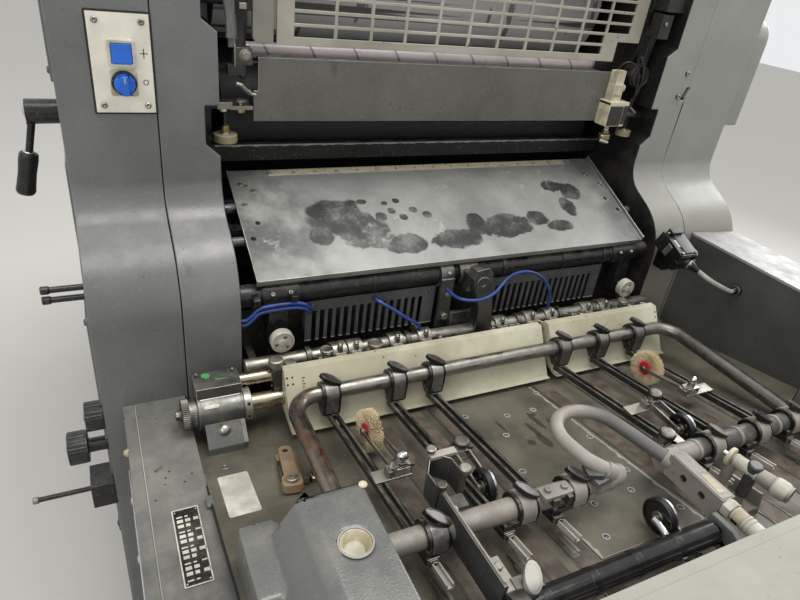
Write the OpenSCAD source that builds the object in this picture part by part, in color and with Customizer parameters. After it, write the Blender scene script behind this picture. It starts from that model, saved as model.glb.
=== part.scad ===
// Sheet-fed offset printing press, single colour, seen mainly from its feed board.
// X runs across the press, Y along the sheet travel towards the delivery, Z up from the floor.
// X = 0 is midway between the side frames, Y = 0 the front face of the upper side frames.

/* [Press] */
// Clear width between the side frames
inner_w = 840; // [780:2:900]
// Thickness of a side frame with its cover plate
frame_t = 84; // [60:1:100]
// Height of the side frames
frame_top = 1500; // [1460:5:1540]
// Height of the top cover above the side frames
cover_rise = 100; // [80:5:160]
// Depth of the printing unit behind its front face
unit_depth = 770; // [720:5:850]
// Height of the plinth
base_h = 120; // [80:5:160]
// Width of the outer cover on the left
cover_w_left = 120; // [90:1:150]
// Width of the outer cover on the right
cover_w_right = 150; // [120:1:180]
// Distance that the side frames step out at their foot
flare_out = 123; // [100:1:140]
// Height at which the step out starts
flare_z = 1128; // [1110:1:1150]
// Height of the corner where the step out turns down
shoulder_z = 1064; // [1050:1:1080]

/* [Cylinders] */
// Diameter of the plate, blanket and impression cylinders
cyl_d = 234; // [210:1:240]
// Gap between neighbouring cylinders with the impression thrown off
cyl_gap = 5; // [3:0.5:8]
// Diameter of a cylinder journal
journal_d = 50; // [40:1:60]
// Length of a journal inside its side frame
journal_seat = 30; // [20:1:40]
// Running clearance round a journal
journal_clear = 0.05; // [0.03:0.01:0.08]
// Gap between a cylinder's end and the side frame
cyl_end_gap = 30; // [20:1:40]
// Height of the impression cylinder's axis
impression_z = 960; // [940:1:980]
// Distance of the impression and plate cylinders' axes behind the front face
cyl_y = 300; // [290:1:320]
// Distance that the blanket cylinder's axis stands in front of the others
blanket_shift = 45; // [35:1:55]

/* [Guards] */
// Distance of the grille guard's lower part from each side frame
grille_gap = 93; // [88:1:100]
// Width of the step by which the grille's upper part is wider on the right
grille_step = 54; // [50:1:55]
// Height of the grille guard's lower edge
grille_z = 1349; // [1347:1:1360]
// Height of the grille guard
grille_h = 186; // [160:1:190]
// Width of the grille's plain edges, both together
grille_margin = 64; // [56:1:72]
// Pitch of the grille's rows
grille_row = 19; // [16:0.5:22]
// Distance of the grille guard behind the front face
grille_y = 44; // [40:1:60]
// Distance of the blanket guard from each side frame
guard_gap = 56; // [52:1:62]
// Height of the blanket guard's lower edge
guard_z = 1236; // [1225:1:1238]
// Height of the blanket guard
guard_h = 94; // [80:1:95]
// Thickness of the sheet that both guards are made of
guard_t = 4; // [3:0.5:5]

/* [Infeed] */
// Distance of the slanted infeed plate from each side frame
infeed_gap = 27; // [22:1:34]
// Length of the slanted infeed plate along its slope
infeed_len = 236; // [220:1:240]
// Thickness of the infeed plate
infeed_t = 4; // [3:0.5:6]
// Angle of the infeed plate
infeed_angle = 24.5; // [22:0.5:26]
// Height of the infeed plate's lower edge
infeed_z = 1037; // [1030:1:1045]
// Length of the ruler strip
ruler_len = 648; // [600:2:700]
// Pitch of the slots in the comb guards
comb_pitch = 14; // [11:0.5:16]
// Width of a slot in the comb guards
comb_slot = 8; // [6:0.5:9]
// Height of the comb guards
comb_h = 76; // [64:1:80]

/* [Feed table] */
// Rise of the feed board towards the feeder
board_angle = 10.17; // [9:0.1:11]
// Height of the feed board at its front edge
board_z = 850; // [845:1:855]
// Distance of the feed board's front edge from the front face
board_front = 250; // [246:1:256]
// Length of the feed board over the floor
board_run = 440; // [400:5:460]
// Thickness of the feed board
board_t = 15; // [10:1:20]
// Distance that the board reaches past the side frames' inner faces
board_side = 90; // [84:1:96]
// Thickness of the centre plate and the conveyor tapes on the board
skin_t = 2; // [1.5:0.5:3]
// Width of a conveyor tape
tape_w = 26; // [20:1:28]
// Top of the side wall on the right
wall_z = 1051; // [1040:1:1058]
// Thickness of the side cover box on the left
side_box_w = 87; // [70:1:100]

/* [Register unit] */
// Width of the register plate
register_w = 755; // [740:1:760]
// Thickness of the register plate
register_t = 4; // [3:0.5:6]
// Diameter of the shaft that carries the front lays
lay_d = 25; // [20:1:26]
// Diameter of the lower register shaft
shaft_d = 25; // [20:1:28]
// Diameter of the upper register shaft
shaft_small_d = 20; // [16:1:22]

/* [Wheel frame] */
// Diameter of the bent hold-down tube
tube_d = 24; // [20:1:26]
// Half the distance between the tube's side arms
tube_reach = 378; // [370:1:384]
// Bend radius of the tube
tube_bend = 40; // [34:1:50]
// Diameter of the cross bar
bar_d = 27; // [24:1:30]
// Height of the slotted rails above the board
rail_lift = 22; // [20:1:26]
// Height of a slotted rail
rail_h = 10; // [8:1:12]
// Length of a slotted rail
rail_len = 322; // [310:2:326]
// Width of a slotted rail
rail_w = 15; // [13:1:18]
// Width of the slot in a rail
rail_slot = 7; // [5:0.5:8]
// Width of a clamp block
clamp_w = 24; // [20:1:26]
// Diameter of a brush wheel
brush_d = 62; // [56:1:66]
// Diameter of a rubber wheel
wheel_d = 46; // [42:1:50]
// Height of a wheel's rim above the tapes
wheel_lift = 5; // [5:0.5:7]
// Diameter of the forwarding roller
roller_d = 28; // [24:1:32]
// Diameter of the bent air pipe
pipe_d = 18; // [14:1:20]
// Diameter of a wheel's pin
pin_d = 8; // [6:0.5:10]
// Running clearance in a wheel's bore
pin_clear = 0.05; // [0.03:0.01:0.08]

/* [Feeder and delivery] */
// Length of the feeder behind the feed table
feeder_len = 760; // [700:10:850]
// Height of the feeder's side plates
feeder_h = 960; // [900:10:1000]
// Height of the feeder's pile table
pile_z = 360; // [250:10:600]
// Length of the delivery
delivery_len = 560; // [500:10:700]
// Height of the delivery's side plates
delivery_h = 1000; // [900:10:1050]

/* [Hidden] */
$fn = 48;
eps = 0.01;
half_w = inner_w / 2;
press_top = frame_top + cover_rise;
grille_w = inner_w - 2 * grille_gap;
guard_w = inner_w - 2 * guard_gap;
infeed_w = inner_w - 2 * infeed_gap;
board_half = half_w + board_side;
left_seam = -half_w - frame_t;
right_seam = half_w + frame_t;
left_out = left_seam - cover_w_left;
right_out = right_seam + cover_w_right;

// Cylinder axes, each one gap beyond rolling contact with its neighbour
cyl_r = cyl_d / 2;
cyl_step = sqrt(pow(cyl_d + cyl_gap, 2) - pow(blanket_shift, 2));
blanket_z = impression_z + cyl_step;
plate_z = impression_z + 2 * cyl_step;
blanket_y = cyl_y - blanket_shift;
cyl_half = half_w - cyl_end_gap;

// Feed board plane: height of its top at a distance y along the sheet travel
function board_top(y) = board_z + (-board_front - y) * tan(board_angle);
board_back = -board_front - board_run;
table_back = board_back - 20;

// Arc of n points that rounds the corner p1 between p0 and p2 with radius r
function unit2(v) = v / norm(v);
function fillet(p0, p1, p2, r, n = 8) =
    let (a = unit2(p0 - p1), b = unit2(p2 - p1), half = acos(a * b) / 2,
        reach = r / tan(half), c = p1 + unit2(a + b) * r / sin(half),
        s = p1 + a * reach - c, e = p1 + b * reach - c,
        s_ang = atan2(s[1], s[0]), turn = atan2(s[0] * e[1] - s[1] * e[0], s * e))
    [for (i = [0 : n]) c + r * [cos(s_ang + turn * i / n), sin(s_ang + turn * i / n)]];

// Block between two corners
module block(low, high) {
    translate(low) cube(high - low);
}

// Bar along X with a profile drawn in Y and Z
module bar_x(x0, x1) {
    translate([x0, 0, 0]) rotate([90, 0, 90]) linear_extrude(x1 - x0) children();
}

// Round bar along X, Y or Z from one end
module rod_x(p, d, len) {
    translate(p) rotate([0, 90, 0]) cylinder(d = d, h = len);
}
module rod_y(p, d, len) {
    translate(p) rotate([-90, 0, 0]) cylinder(d = d, h = len);
}
module rod_z(p, d, len) {
    translate(p) cylinder(d = d, h = len);
}

// Profile drawn in X and Z, extruded along Y
module bar_y(y0, y1) {
    translate([0, y1, 0]) rotate([90, 0, 0]) linear_extrude(y1 - y0) children();
}

// Place children at p with their Z axis pointing at q
module aim(p, q) {
    v = q - p;
    translate(p) rotate([0, acos(v[2] / norm(v)), atan2(v[1], v[0])]) children();
}

// Outline of a strip of thickness t along the points p in plan
function beside(p, d) = [for (i = [0 : len(p) - 1])
    let (a = unit2(p[min(i + 1, len(p) - 1)] - p[max(i - 1, 0)])) p[i] + d * [-a[1], a[0]]];
function strip(p, t) = concat(beside(p, t / 2),
    [for (q = [for (i = [len(p) - 1 : -1 : 0]) beside(p, -t / 2)[i]]) q]);

// Tube swept through points, with one ring of vertices at each of them
sweep_ref = [0.35, 0.48, 0.8];
function tangents(p) = [for (i = [0 : len(p) - 1])
    unit2(p[min(i + 1, len(p) - 1)] - p[max(i - 1, 0)])];
module sweep(p, d, sides) {
    t = tangents(p);
    rings = [for (i = [0 : len(p) - 1])
        let (u = unit2(cross(sweep_ref, t[i])), v = cross(t[i], u))
        for (k = [0 : sides - 1])
            p[i] + d / 2 * (u * cos(360 * k / sides) + v * sin(360 * k / sides))];
    last = (len(p) - 1) * sides;
    polyhedron(rings, concat(
        [[for (k = [0 : sides - 1]) k]],
        [for (i = [0 : len(p) - 2], k = [0 : sides - 1])
            [i * sides + k, (i + 1) * sides + k, (i + 1) * sides + (k + 1) % sides, i * sides + (k + 1) % sides]],
        [[for (k = [sides - 1 : -1 : 0]) last + k]]));
}

// Smooth curve through points, with n steps between neighbours
function through(p, n) = [for (i = [0 : len(p) - 2], k = [0 : i == len(p) - 2 ? n : n - 1])
    let (s = k / n, a = p[max(i - 1, 0)], b = p[i], c = p[i + 1], e = p[min(i + 2, len(p) - 1)])
    b + ((c - a) * s + (2 * a - 5 * b + 4 * c - e) * s * s + (3 * b - a - 3 * c + e) * s * s * s) / 2];

// Leaf-shaped thumb lever lying square to Z
module thumb_lever(len, w, t) {
    r = (len * len / 4 + w * w / 4) / w;
    intersection() {
        translate([r - w / 2, 0, 0]) cylinder(r = r, h = t);
        translate([w / 2 - r, 0, 0]) cylinder(r = r, h = t);
    }
}

// Place children on the feed board: origin on its top surface at x, y, Z square to the board
module on_board(x, y) {
    translate([x, y, board_top(y)]) rotate([-board_angle, 0, 0]) children();
}

// Side frame profile in Y and Z with the stepped-out foot
concave_r = 60;
shoulder_r = 112;
module frame_profile(top) {
    p_top = [0, top];
    p_in = [0, flare_z];
    p_out = [-flare_out, shoulder_z];
    p_foot = [-flare_out, base_h];
    polygon(concat([[unit_depth, base_h], [unit_depth, top], p_top],
        fillet(p_top, p_in, p_out, concave_r),
        fillet(p_in, p_out, p_foot, shoulder_r), [p_foot]));
}

// Notches at the inner front edge, where the black castings show
notch_w = 20;
notch_y = 70;
notch_low = [1196, 1215, 1270];
notch_high = [1368, 1384, frame_top + 1];
module frame_notch(side, z) {
    x_in = side * (half_w - 1);
    x_deep = side * (half_w + notch_w);
    bar_y(-flare_out - 1, notch_y) polygon([[x_in, z[0]], [x_in, z[2]], [x_deep, z[2]], [x_deep, z[1]]]);
}

// Slanted slot in the front of the right column
module column_slot() {
    bar_y(-1, 14) polygon([[right_seam - 13, 1291], [right_seam - 2, 1289], [right_seam + 7, 1313], [right_seam - 4, 1315]]);
}

module journal_bores(side) {
    for (c = [[cyl_y, impression_z], [blanket_y, blanket_z], [cyl_y, plate_z]])
        translate([side * (half_w + journal_seat / 2), c[0], c[1]]) rotate([0, 90, 0])
            cylinder(d = journal_d + 2 * journal_clear, h = journal_seat + 2, center = true);
}

module side_frame(side) {
    difference() {
        bar_x(side > 0 ? half_w : left_seam, side > 0 ? right_seam : -half_w) frame_profile(frame_top);
        journal_bores(side);
        frame_notch(side, notch_low);
        frame_notch(side, notch_high);
        if (side > 0) column_slot();
    }
}

module side_frame_left() {
    color("#6f7172") side_frame(-1);
}

module side_frame_right() {
    color("#8d8d8a") side_frame(1);
}

module base_frame() {
    toe = 40;
    color("#3c3d3e") block([left_out + toe, table_back + toe, 0], [right_out - toe, unit_depth, base_h]);
}

cover_top = frame_top + 60;
drive_box = [45, 260, 215];
drive_r = 40;
module outer_covers() {
    color("#6f7172") bar_x(left_out, left_seam) frame_profile(cover_top);
    color("#8d8d8a") difference() {
        bar_x(right_seam, right_out) frame_profile(cover_top);
        column_slot();
    }
    color("#8d8d8a") translate([right_out - eps, 8, 1235]) rotate([90, 0, 90]) linear_extrude(drive_box[0])
        polygon(concat([[0, 0], [0, drive_box[2] - drive_r]],
            fillet([0, 0], [0, drive_box[2]], [drive_box[1], drive_box[2]], drive_r),
            fillet([0, drive_box[2]], [drive_box[1], drive_box[2]], [drive_box[1], 0], drive_r),
            [[drive_box[1], 0]]));
}

// Operator panel on the left outer cover
panel_x = left_seam - 38;
panel_z = 1323;
panel_size = [74, 124];
panel_t = 2.5;
button_z = 1337;
button_w = 24;
bezel_w = 30;
selector_z = 1300;
travel = 3;
key_clear = 0.5;
module control_panel() {
    color("#c9cac6") difference() {
        union() {
            block([panel_x - panel_size[0] / 2, -panel_t, panel_z - panel_size[1] / 2],
                [panel_x + panel_size[0] / 2, 0, panel_z + panel_size[1] / 2]);
            block([panel_x - bezel_w / 2, -panel_t - 6, button_z - bezel_w / 2],
                [panel_x + bezel_w / 2, -panel_t, button_z + bezel_w / 2]);
            rod_y([panel_x, -panel_t - 4, selector_z], 30, 4);
            rod_y([panel_x, -panel_t - 10, selector_z], 8, 6);
        }
        block([panel_x - button_w / 2 - key_clear, -panel_t - 7, button_z - button_w / 2 - key_clear],
            [panel_x + button_w / 2 + key_clear, -panel_t, button_z + button_w / 2 + key_clear]);
    }
}

module start_button() {
    color("#2f7fe0") block([panel_x - button_w / 2, -panel_t - 8, button_z - button_w / 2],
        [panel_x + button_w / 2, -panel_t - travel - 0.3, button_z + button_w / 2]);
}

module selector_knob() {
    color("#2a62b8") difference() {
        union() {
            rod_y([panel_x, -panel_t - 15, selector_z], 25, 10.7);
            block([panel_x - 4, -panel_t - 24, selector_z - 12], [panel_x + 4, -panel_t - 15, selector_z + 12]);
        }
        rod_y([panel_x, -panel_t - 10.3, selector_z], 8 + 2 * pin_clear, 10);
    }
}

// Closed body behind the cylinders with the inking rollers' drive inside
ink_y = cyl_y + cyl_r + 25;
module ink_unit_housing() {
    color("#4b4c4d") block([-half_w, ink_y, base_h], [half_w, unit_depth, frame_top]);
}

lid_t = 12;
module top_cover() {
    top_y = grille_pivot[0] + 36.3;
    color("#6f7172") difference() {
        block([left_seam, top_y, frame_top], [right_seam, unit_depth, press_top]);
        block([-half_w, top_y + lid_t, frame_top - 1], [half_w, ink_y, press_top - lid_t]);
    }
}

module press_cylinder(y, z) {
    rod_x([-cyl_half, y, z], cyl_d, 2 * cyl_half);
    rod_x([-half_w - journal_seat + 1, y, z], journal_d, inner_w + 2 * journal_seat - 2);
}

module plate_cylinder() {
    color("#c8cacb") press_cylinder(cyl_y, plate_z);
}

module blanket_cylinder() {
    color("#2b2d30") press_cylinder(blanket_y, blanket_z);
}

module impression_cylinder() {
    color("#a9abac") press_cylinder(cyl_y, impression_z);
}

// Form rollers by the plate cylinder, and the bright roller behind the gap between the guards
form_d = 54;
damp_d = 24;
damp_axis = [106, 1330];
module ink_rollers() {
    reach = cyl_r + form_d / 2 + 5;
    color("#26282a") {
        for (a = [38, 132])
            rod_x([-half_w, cyl_y - reach * cos(a), plate_z + reach * sin(a)], form_d, inner_w);
        rod_x([plate_left, damp_axis[0], damp_axis[1]], damp_d, plate_right - plate_left);
    }
}

// Hinged grille in front of the plate cylinder, with a plain plate at its left end
swing_gap = 6;
grille_left = -grille_w / 2;
grille_right = grille_w / 2 + grille_step;
grille_edge = 12;
grille_rise = 35;
grille_cols = 10;
grille_col = (grille_w - grille_margin) / grille_cols;
grille_rows = 8;
grille_first = 6;
bar_wide = 5;
end_plate = [36, 30];
hinge_w = 24;
grille_pivot = [grille_y + guard_t + 10, grille_z + grille_h - 14];
module grille_barrel(x) {
    difference() {
        rod_x([x - hinge_w / 2, grille_pivot[0], grille_pivot[1]], 24, hinge_w);
        rod_x([x - hinge_w, grille_pivot[0], grille_pivot[1]], pin_d + 2 * pin_clear, 2 * hinge_w);
    }
}

module guard_grille() {
    first = -grille_cols / 2 * grille_col;
    top = grille_z + grille_h;
    color("#b5b3aa") {
        bar_y(grille_y, grille_y + guard_t) difference() {
            union() {
                translate([grille_left, grille_z]) square([grille_w, grille_h]);
                translate([0, grille_z + grille_rise]) square([grille_right, grille_h - grille_rise]);
            }
            for (i = [0 : grille_cols], j = [0 : grille_rows - 1])
                if (i < grille_cols || j > 1)
                    translate([first + i * grille_col + (i > 0 ? bar_wide / 2 : -grille_first), grille_z + grille_edge + j * grille_row])
                        square([grille_col - bar_wide / 2 - (i > 0 ? bar_wide / 2 : -grille_first), grille_row - bar_wide]);
        }
        bar_y(grille_y - 4, grille_y + 6) difference() {
            translate([grille_left - end_plate[0], grille_z + 1]) square([end_plate[1], grille_h - 1]);
            translate([grille_left - end_plate[0] - 1, grille_z]) difference() {
                square(11);
                translate([11, 11]) circle(10);
            }
        }
        block([grille_left - end_plate[0] + 8, grille_y + guard_t - eps, grille_z + 20],
            [grille_left + 12, grille_y + 6, top]);
        grille_barrel(grille_left - end_plate[0] + 16);
        grille_barrel(grille_right - 20);
    }
}

// Hinged channel in front of the blanket cylinder
guard_y = 46;
guard_x = 3;
guard_depth = 14;
guard_step = [7, 46];
guard_left = guard_x - guard_w / 2;
guard_right = guard_x + guard_w / 2;
guard_pivot = [guard_y + 24, guard_z + guard_h - 14];
barrel_xs = [guard_left + 36, guard_right - 67];
module blanket_guard() {
    top = guard_z + guard_h;
    color("#5d5c59") {
        bar_y(guard_y, guard_y + guard_t) polygon([[guard_left, guard_z], [guard_left, guard_z + guard_step[1]],
            [guard_left + guard_step[0], guard_z + guard_step[1]], [guard_left + guard_step[0], top],
            [guard_right - guard_step[0], top], [guard_right, guard_z + guard_step[1]], [guard_right, guard_z]]);
        for (z = [guard_z, top - guard_t]) block([guard_left + guard_step[0], guard_y + guard_t - eps, z],
            [barrel_xs[1] + hinge_w / 2, guard_y + guard_depth, z + guard_t]);
        for (x = barrel_xs) difference() {
            union() {
                rod_x([x - hinge_w / 2, guard_pivot[0], guard_pivot[1]], 20, hinge_w);
                block([x - hinge_w / 2, guard_y + guard_t - eps, guard_pivot[1] - 8],
                    [x + hinge_w / 2, guard_pivot[0], top]);
            }
            rod_x([x - hinge_w, guard_pivot[0], guard_pivot[1]], pin_d + 2 * pin_clear, 2 * hinge_w);
        }
    }
}

// Connector and its box at the right end of the blanket guard, with a knob below
switch_box = [[guard_right - 43, 14, 1233], [guard_right + 5, guard_y, 1279]];
switch_body = [[guard_right - 33, 26, 1279], [guard_right - 13, guard_y, 1335]];
module guard_switch() {
    color("#d9d3bd") {
        block(switch_box[0], switch_box[1]);
        block(switch_body[0] - [0, 0, eps], switch_body[1]);
        rod_x([switch_body[1][0] - eps, 33, 1304], 13, 9);
        rod_z([guard_right - 21, 30, 1214 - eps], 9, 20);
        rod_z([guard_right - 21, 30, 1204], 22, 10);
    }
}

// Lead that loops from the connector down into the side of its box
lead_d = 4;
lead_points = [for (p = [[-23, 38, 1335], [-23, 38, 1341], [-20, 34, 1348], [-13, 29, 1352], [-3, 25, 1350],
    [5, 20, 1342], [11, 17, 1328], [14, 16, 1310], [15, 16, 1292], [14, 18, 1276], [11, 20, 1264],
    [9, 20, 1260], [5, 20, 1260]]) p + [guard_right, 0, 0]];
module switch_lead() {
    color("#1c1c1d") sweep(lead_points, lead_d, 8);
}

// Black end plates that carry the guards' pins and the bright roller, with the levers and knobs beside them
plate_t = 8;
plate_left = min(guard_left - 8, grille_left - end_plate[0] - swing_gap);
plate_right = max(grille_right + swing_gap + 1, guard_right + 21);
module end_plate_profile() {
    polygon([[58, 1298], [120, 1298], [120, 1345], [90, 1375], [90, grille_pivot[1] + 12],
        [48, grille_pivot[1] + 12], [48, 1380], [58, 1350]]);
}

module clamp_knob(x, d, z) {
    rod_z([x, 45, z], d, 12);
    rod_z([x, 45, z + 11], 5, 40);
}

module guard_brackets() {
    low = 1257;
    lever_share = 14 / 24;
    color("#3b3a38") {
        bar_x(plate_left - plate_t, plate_left) end_plate_profile();
        bar_x(plate_right, plate_right + plate_t) end_plate_profile();
        for (p = [guard_pivot, grille_pivot]) {
            left = p == guard_pivot ? barrel_xs[0] + 11 : grille_left - end_plate[0] + 27;
            right = p == guard_pivot ? barrel_xs[1] - 11 : grille_right - 31;
            rod_x([plate_left - eps, p[0], p[1]], pin_d, left - plate_left);
            rod_x([right, p[0], p[1]], pin_d, plate_right - right + eps);
        }
        for (z = [1308, 1500]) {
            rod_x([-half_w, 84, z], 12, half_w + plate_left - plate_t + eps);
            rod_x([plate_right + plate_t - eps, 84, z], 12, half_w - plate_right - plate_t + eps);
        }
        block([guard_right - 41, 86, 1250], [plate_right + eps, 90, 1386]);
        for (s = [-1, 1]) {
            x_in = s > 0 ? plate_right + plate_t - eps : plate_left - plate_t + eps;
            lever = s > 0 ? lever_share * (half_w - x_in) : 14;
            bar_x(min(x_in, x_in + s * lever), max(x_in, x_in + s * lever))
                polygon([[26, 1417], [50, 1417], [56, 1385], [52, 1345], [44, 1328], [30, 1328], [36, 1350], [32, 1385]]);
            rod_x([s > 0 ? x_in : -half_w - notch_w, 40, 1408], 20, half_w + notch_w - s * x_in);
            block([s > 0 ? x_in : -half_w - notch_w, 12, 1445], [s > 0 ? half_w + notch_w : x_in, 60, 1480]);
        }
    }
    color("#b9b39a") {
        rod_y([half_w - 22, 46, 1325], 42, 14);
        block([-half_w - notch_w, 38, low], [guard_left - 9, 52, low + 11]);
        block([guard_right + 11, 38, low - 13], [half_w + notch_w, 52, low - 2]);
        clamp_knob(-half_w + 15, 36, 1206);
        clamp_knob(half_w - 11, 30, 1206);
    }
}

// Slanted plate with its folded lower lip and the ruler along its upper edge
infeed_y = -105;
module infeed_plate() {
    lip = 12;
    rim = 3;
    tie = [-18, 16];
    tie_z = infeed_z + (tie[0] - infeed_y) * tan(infeed_angle) - (infeed_t + tie[1] / 2 - 0.5) / cos(infeed_angle);
    color("#6f7473") {
        translate([0, infeed_y, infeed_z]) rotate([infeed_angle, 0, 0]) {
            block([-infeed_w / 2, 0, -infeed_t], [infeed_w / 2, infeed_len, 0]);
            block([-infeed_w / 2, 0, -lip], [infeed_w / 2, infeed_t, -infeed_t + eps]);
            block([infeed_w / 2 - rim, 0, -eps], [infeed_w / 2, infeed_len, 8]);
        }
        rod_x([-half_w, tie[0], tie_z], tie[1], inner_w);
    }
    color("#c8bb9a") translate([0, infeed_y, infeed_z]) rotate([infeed_angle, 0, 0])
        block([-ruler_len / 2, infeed_len - 14, -eps], [ruler_len / 2, infeed_len - 2, 1.5]);
}

// Dark shaft below the infeed plate, its collars and the hangers that carry the dial knobs
cross_y = -86;
cross_z = 1004;
cross_d = 36;
collar_in = 325;
hanger = [[345, -108, 925], [375, -88, 1000]];
module cross_shaft() {
    color("#232425") {
        rod_x([-half_w, cross_y, cross_z], cross_d, inner_w);
        for (x = [-half_w + 35, collar_in]) rod_x([x, cross_y, cross_z], 44, half_w - 35 - collar_in);
        for (s = [-1, 1]) {
            block([min(s * hanger[0][0], s * hanger[1][0]), hanger[0][1], hanger[0][2]],
                [max(s * hanger[0][0], s * hanger[1][0]), hanger[1][1], hanger[1][2]]);
            rod_y([s * dial_x, dial_y + 5, dial_z], pin_d, hanger[0][1] - dial_y);
        }
        for (x = [-half_w + 19, hose_end - 37]) {
            block([x, -121, 1003], [x + 10, -101, 1014]);
            block([x, -112.5, 990], [x + 10, -101, 1006]);
        }
    }
}

// Member behind the comb guards, with the lower body between the side frames
module cross_member() {
    color("#2f3031") {
        block([-half_w, -78, base_h], [half_w, ink_y, 800]);
        block([-half_w, -78, 800 - eps], [half_w, -50, 972]);
        block([-half_w, 114, 1150], [half_w, 130, 1178]);
    }
}

comb_y = -96;
comb_z = 985;
comb_t = 3;
module comb_guard(x0, x1) {
    margin = 8;
    count = floor((x1 - x0 - 2 * margin) / comb_pitch);
    band = 18;
    bar_y(comb_y, comb_y + comb_t) difference() {
        translate([x0, comb_z - comb_h]) square([x1 - x0, comb_h]);
        for (i = [0 : count - 1])
            translate([x0 + margin + i * comb_pitch + (comb_pitch - comb_slot) / 2, comb_z - comb_h - 1])
                square([comb_slot, comb_h - band + 1]);
    }
    for (x = [x0, x1 - margin]) block([x, comb_y + comb_t - eps, 930], [x + margin, -78, 962]);
}

module comb_guards() {
    color("#4a4b4a") {
        comb_guard(-312, -73);
        comb_guard(46, 312);
    }
}

// Arms between the two comb guards that carry the front lays
module centre_bracket() {
    ring_d = cross_d + 12;
    arm_y = [-150, -128];
    color("#8a8a84") {
        difference() {
            union() {
                rod_x([-34, cross_y, cross_z], ring_d, 38);
                rod_x([-72, cross_y, cross_z], ring_d, 26);
                block([-30, arm_y[1] - eps, 985], [0, cross_y, 1018]);
                bar_y(arm_y[0], arm_y[1]) polygon([[-34, 1020], [-30, 1036], [-6, 1040], [4, 1030],
                    [30, 888], [-8, 888], [-12, 960]]);
            }
            rod_x([-100, cross_y, cross_z], cross_d + 0.1, 120);
            rod_x([-100, lay_y, lay_z], lay_d + 0.1, 200);
        }
        difference() {
            block([-72, -112, 889], [-46, -106, cross_z]);
            rod_x([-100, cross_y, cross_z], cross_d + 0.1, 120);
        }
    }
    color("#2b2c2d") {
        block([-46 - eps, -120, 888], [4, -112, 938]);
        block([-10, arm_y[1] - eps, lay_z + lay_d / 2 + 4], [4, -112 - eps, 938]);
    }
}

// Shaft with a row of small clamps in front of the comb guards, and the posts beside them
lay_y = -135;
lay_z = 906;
lay_clamps = [-268, -240, -165, -110, 50, 118, 165, 255, 300];
lay_posts = [[-296, 935, 20], [-212, 932, 24], [76, 918, 12], [228, 922, 16], [330, 935, 20]];
module front_lays() {
    color("#b7b2a4") {
        rod_x([-half_w, lay_y, lay_z], lay_d, inner_w);
        for (x = [-half_w + 12, -105, 36, half_w - 24]) block([x, lay_y - 6, lay_z - 18], [x + 12, -78, lay_z - 1]);
        for (x = lay_clamps) {
            rod_x([x - 13, lay_y, lay_z], lay_d + 11, 26);
            block([x - 9, lay_y - 21, lay_z - 8], [x + 9, lay_y, lay_z + 8]);
            rod_z([x, lay_y - 12, lay_z + 8 - eps], 9, 10);
        }
        for (p = lay_posts) {
            block([p[0] - 8, lay_y - 33, lay_z - 10], [p[0] + 8, lay_y, lay_z + 4]);
            rod_z([p[0], lay_y - 25, lay_z], 12, p[1] - lay_z);
            rod_z([p[0], lay_y - 25, p[1] - 6], p[2], 6);
        }
        for (s = [-1, 1]) {
            block([s * 355 - 8, lay_y - 33, lay_z - 10], [s * 355 + 8, lay_y, lay_z]);
            rod_z([s * 355, lay_y - 25, lay_z - eps], 14, 10);
        }
    }
}

// Thin control hoses: a pair along the shaft on the left, one down to the lays, one over to the right
hose_d = 6;
hose_end = -306;
hose_pair = [for (p = [[1, -114, 978], [0.93, -114, 978], [0.851, -116, 986], [0.772, -117, 996],
    [0.667, -117, 999], [0.509, -117, 1000], [0.351, -117, 1000], [0.228, -117, 999], [0.123, -116, 994],
    [0.044, -111, 984], [0, -103, 978], [0, -96, 978]]) [hose_end - (half_w + hose_end) * p[0], p[1], p[2]]];
hose_drop = [[-192, -96, 979], [-192, -104, 979], [-187, -113, 977], [-174, -121, 970], [-157, -127, 959],
    [-141, -131, 948], [-126, -134, 939], [-118, -135, 931], [-118, -135, 924]];
hose_right = [[-60, -112, 985], [-60, -122, 985], [-56, -140, 984], [-46, -152, 984], [-28, -158, 984],
    [-8, -159, 986], [10, -157, 993], [28, -149, 1002], [44, -141, 1009], [64, -135, 1013], [88, -132, 1013],
    [112, -132, 1006], [134, -133, 992], [150, -134, 974], [159, -135, 954], [161, -135, 936], [161, -135, 924]];
module control_hoses() {
    color("#2b4fa8") {
        sweep(hose_pair, hose_d, 8);
        sweep([for (p = hose_pair) p - [0, 0, 8]], hose_d, 8);
        sweep(hose_drop, hose_d, 8);
        sweep(hose_right, hose_d, 8);
    }
}

// Graduated adjusting knob on a pin, its face towards the feed board
dial_x = 360;
dial_y = -136;
dial_z = 942;
module dial_knob(s) {
    color("#b8b7b0") difference() {
        rod_y([s * dial_x, dial_y, dial_z], 36, 14);
        rod_y([s * dial_x, dial_y + 4, dial_z], pin_d + 2 * pin_clear, 12);
    }
}

module dial_knob_left() {
    dial_knob(-1);
}

module dial_knob_right() {
    dial_knob(1);
}

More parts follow.
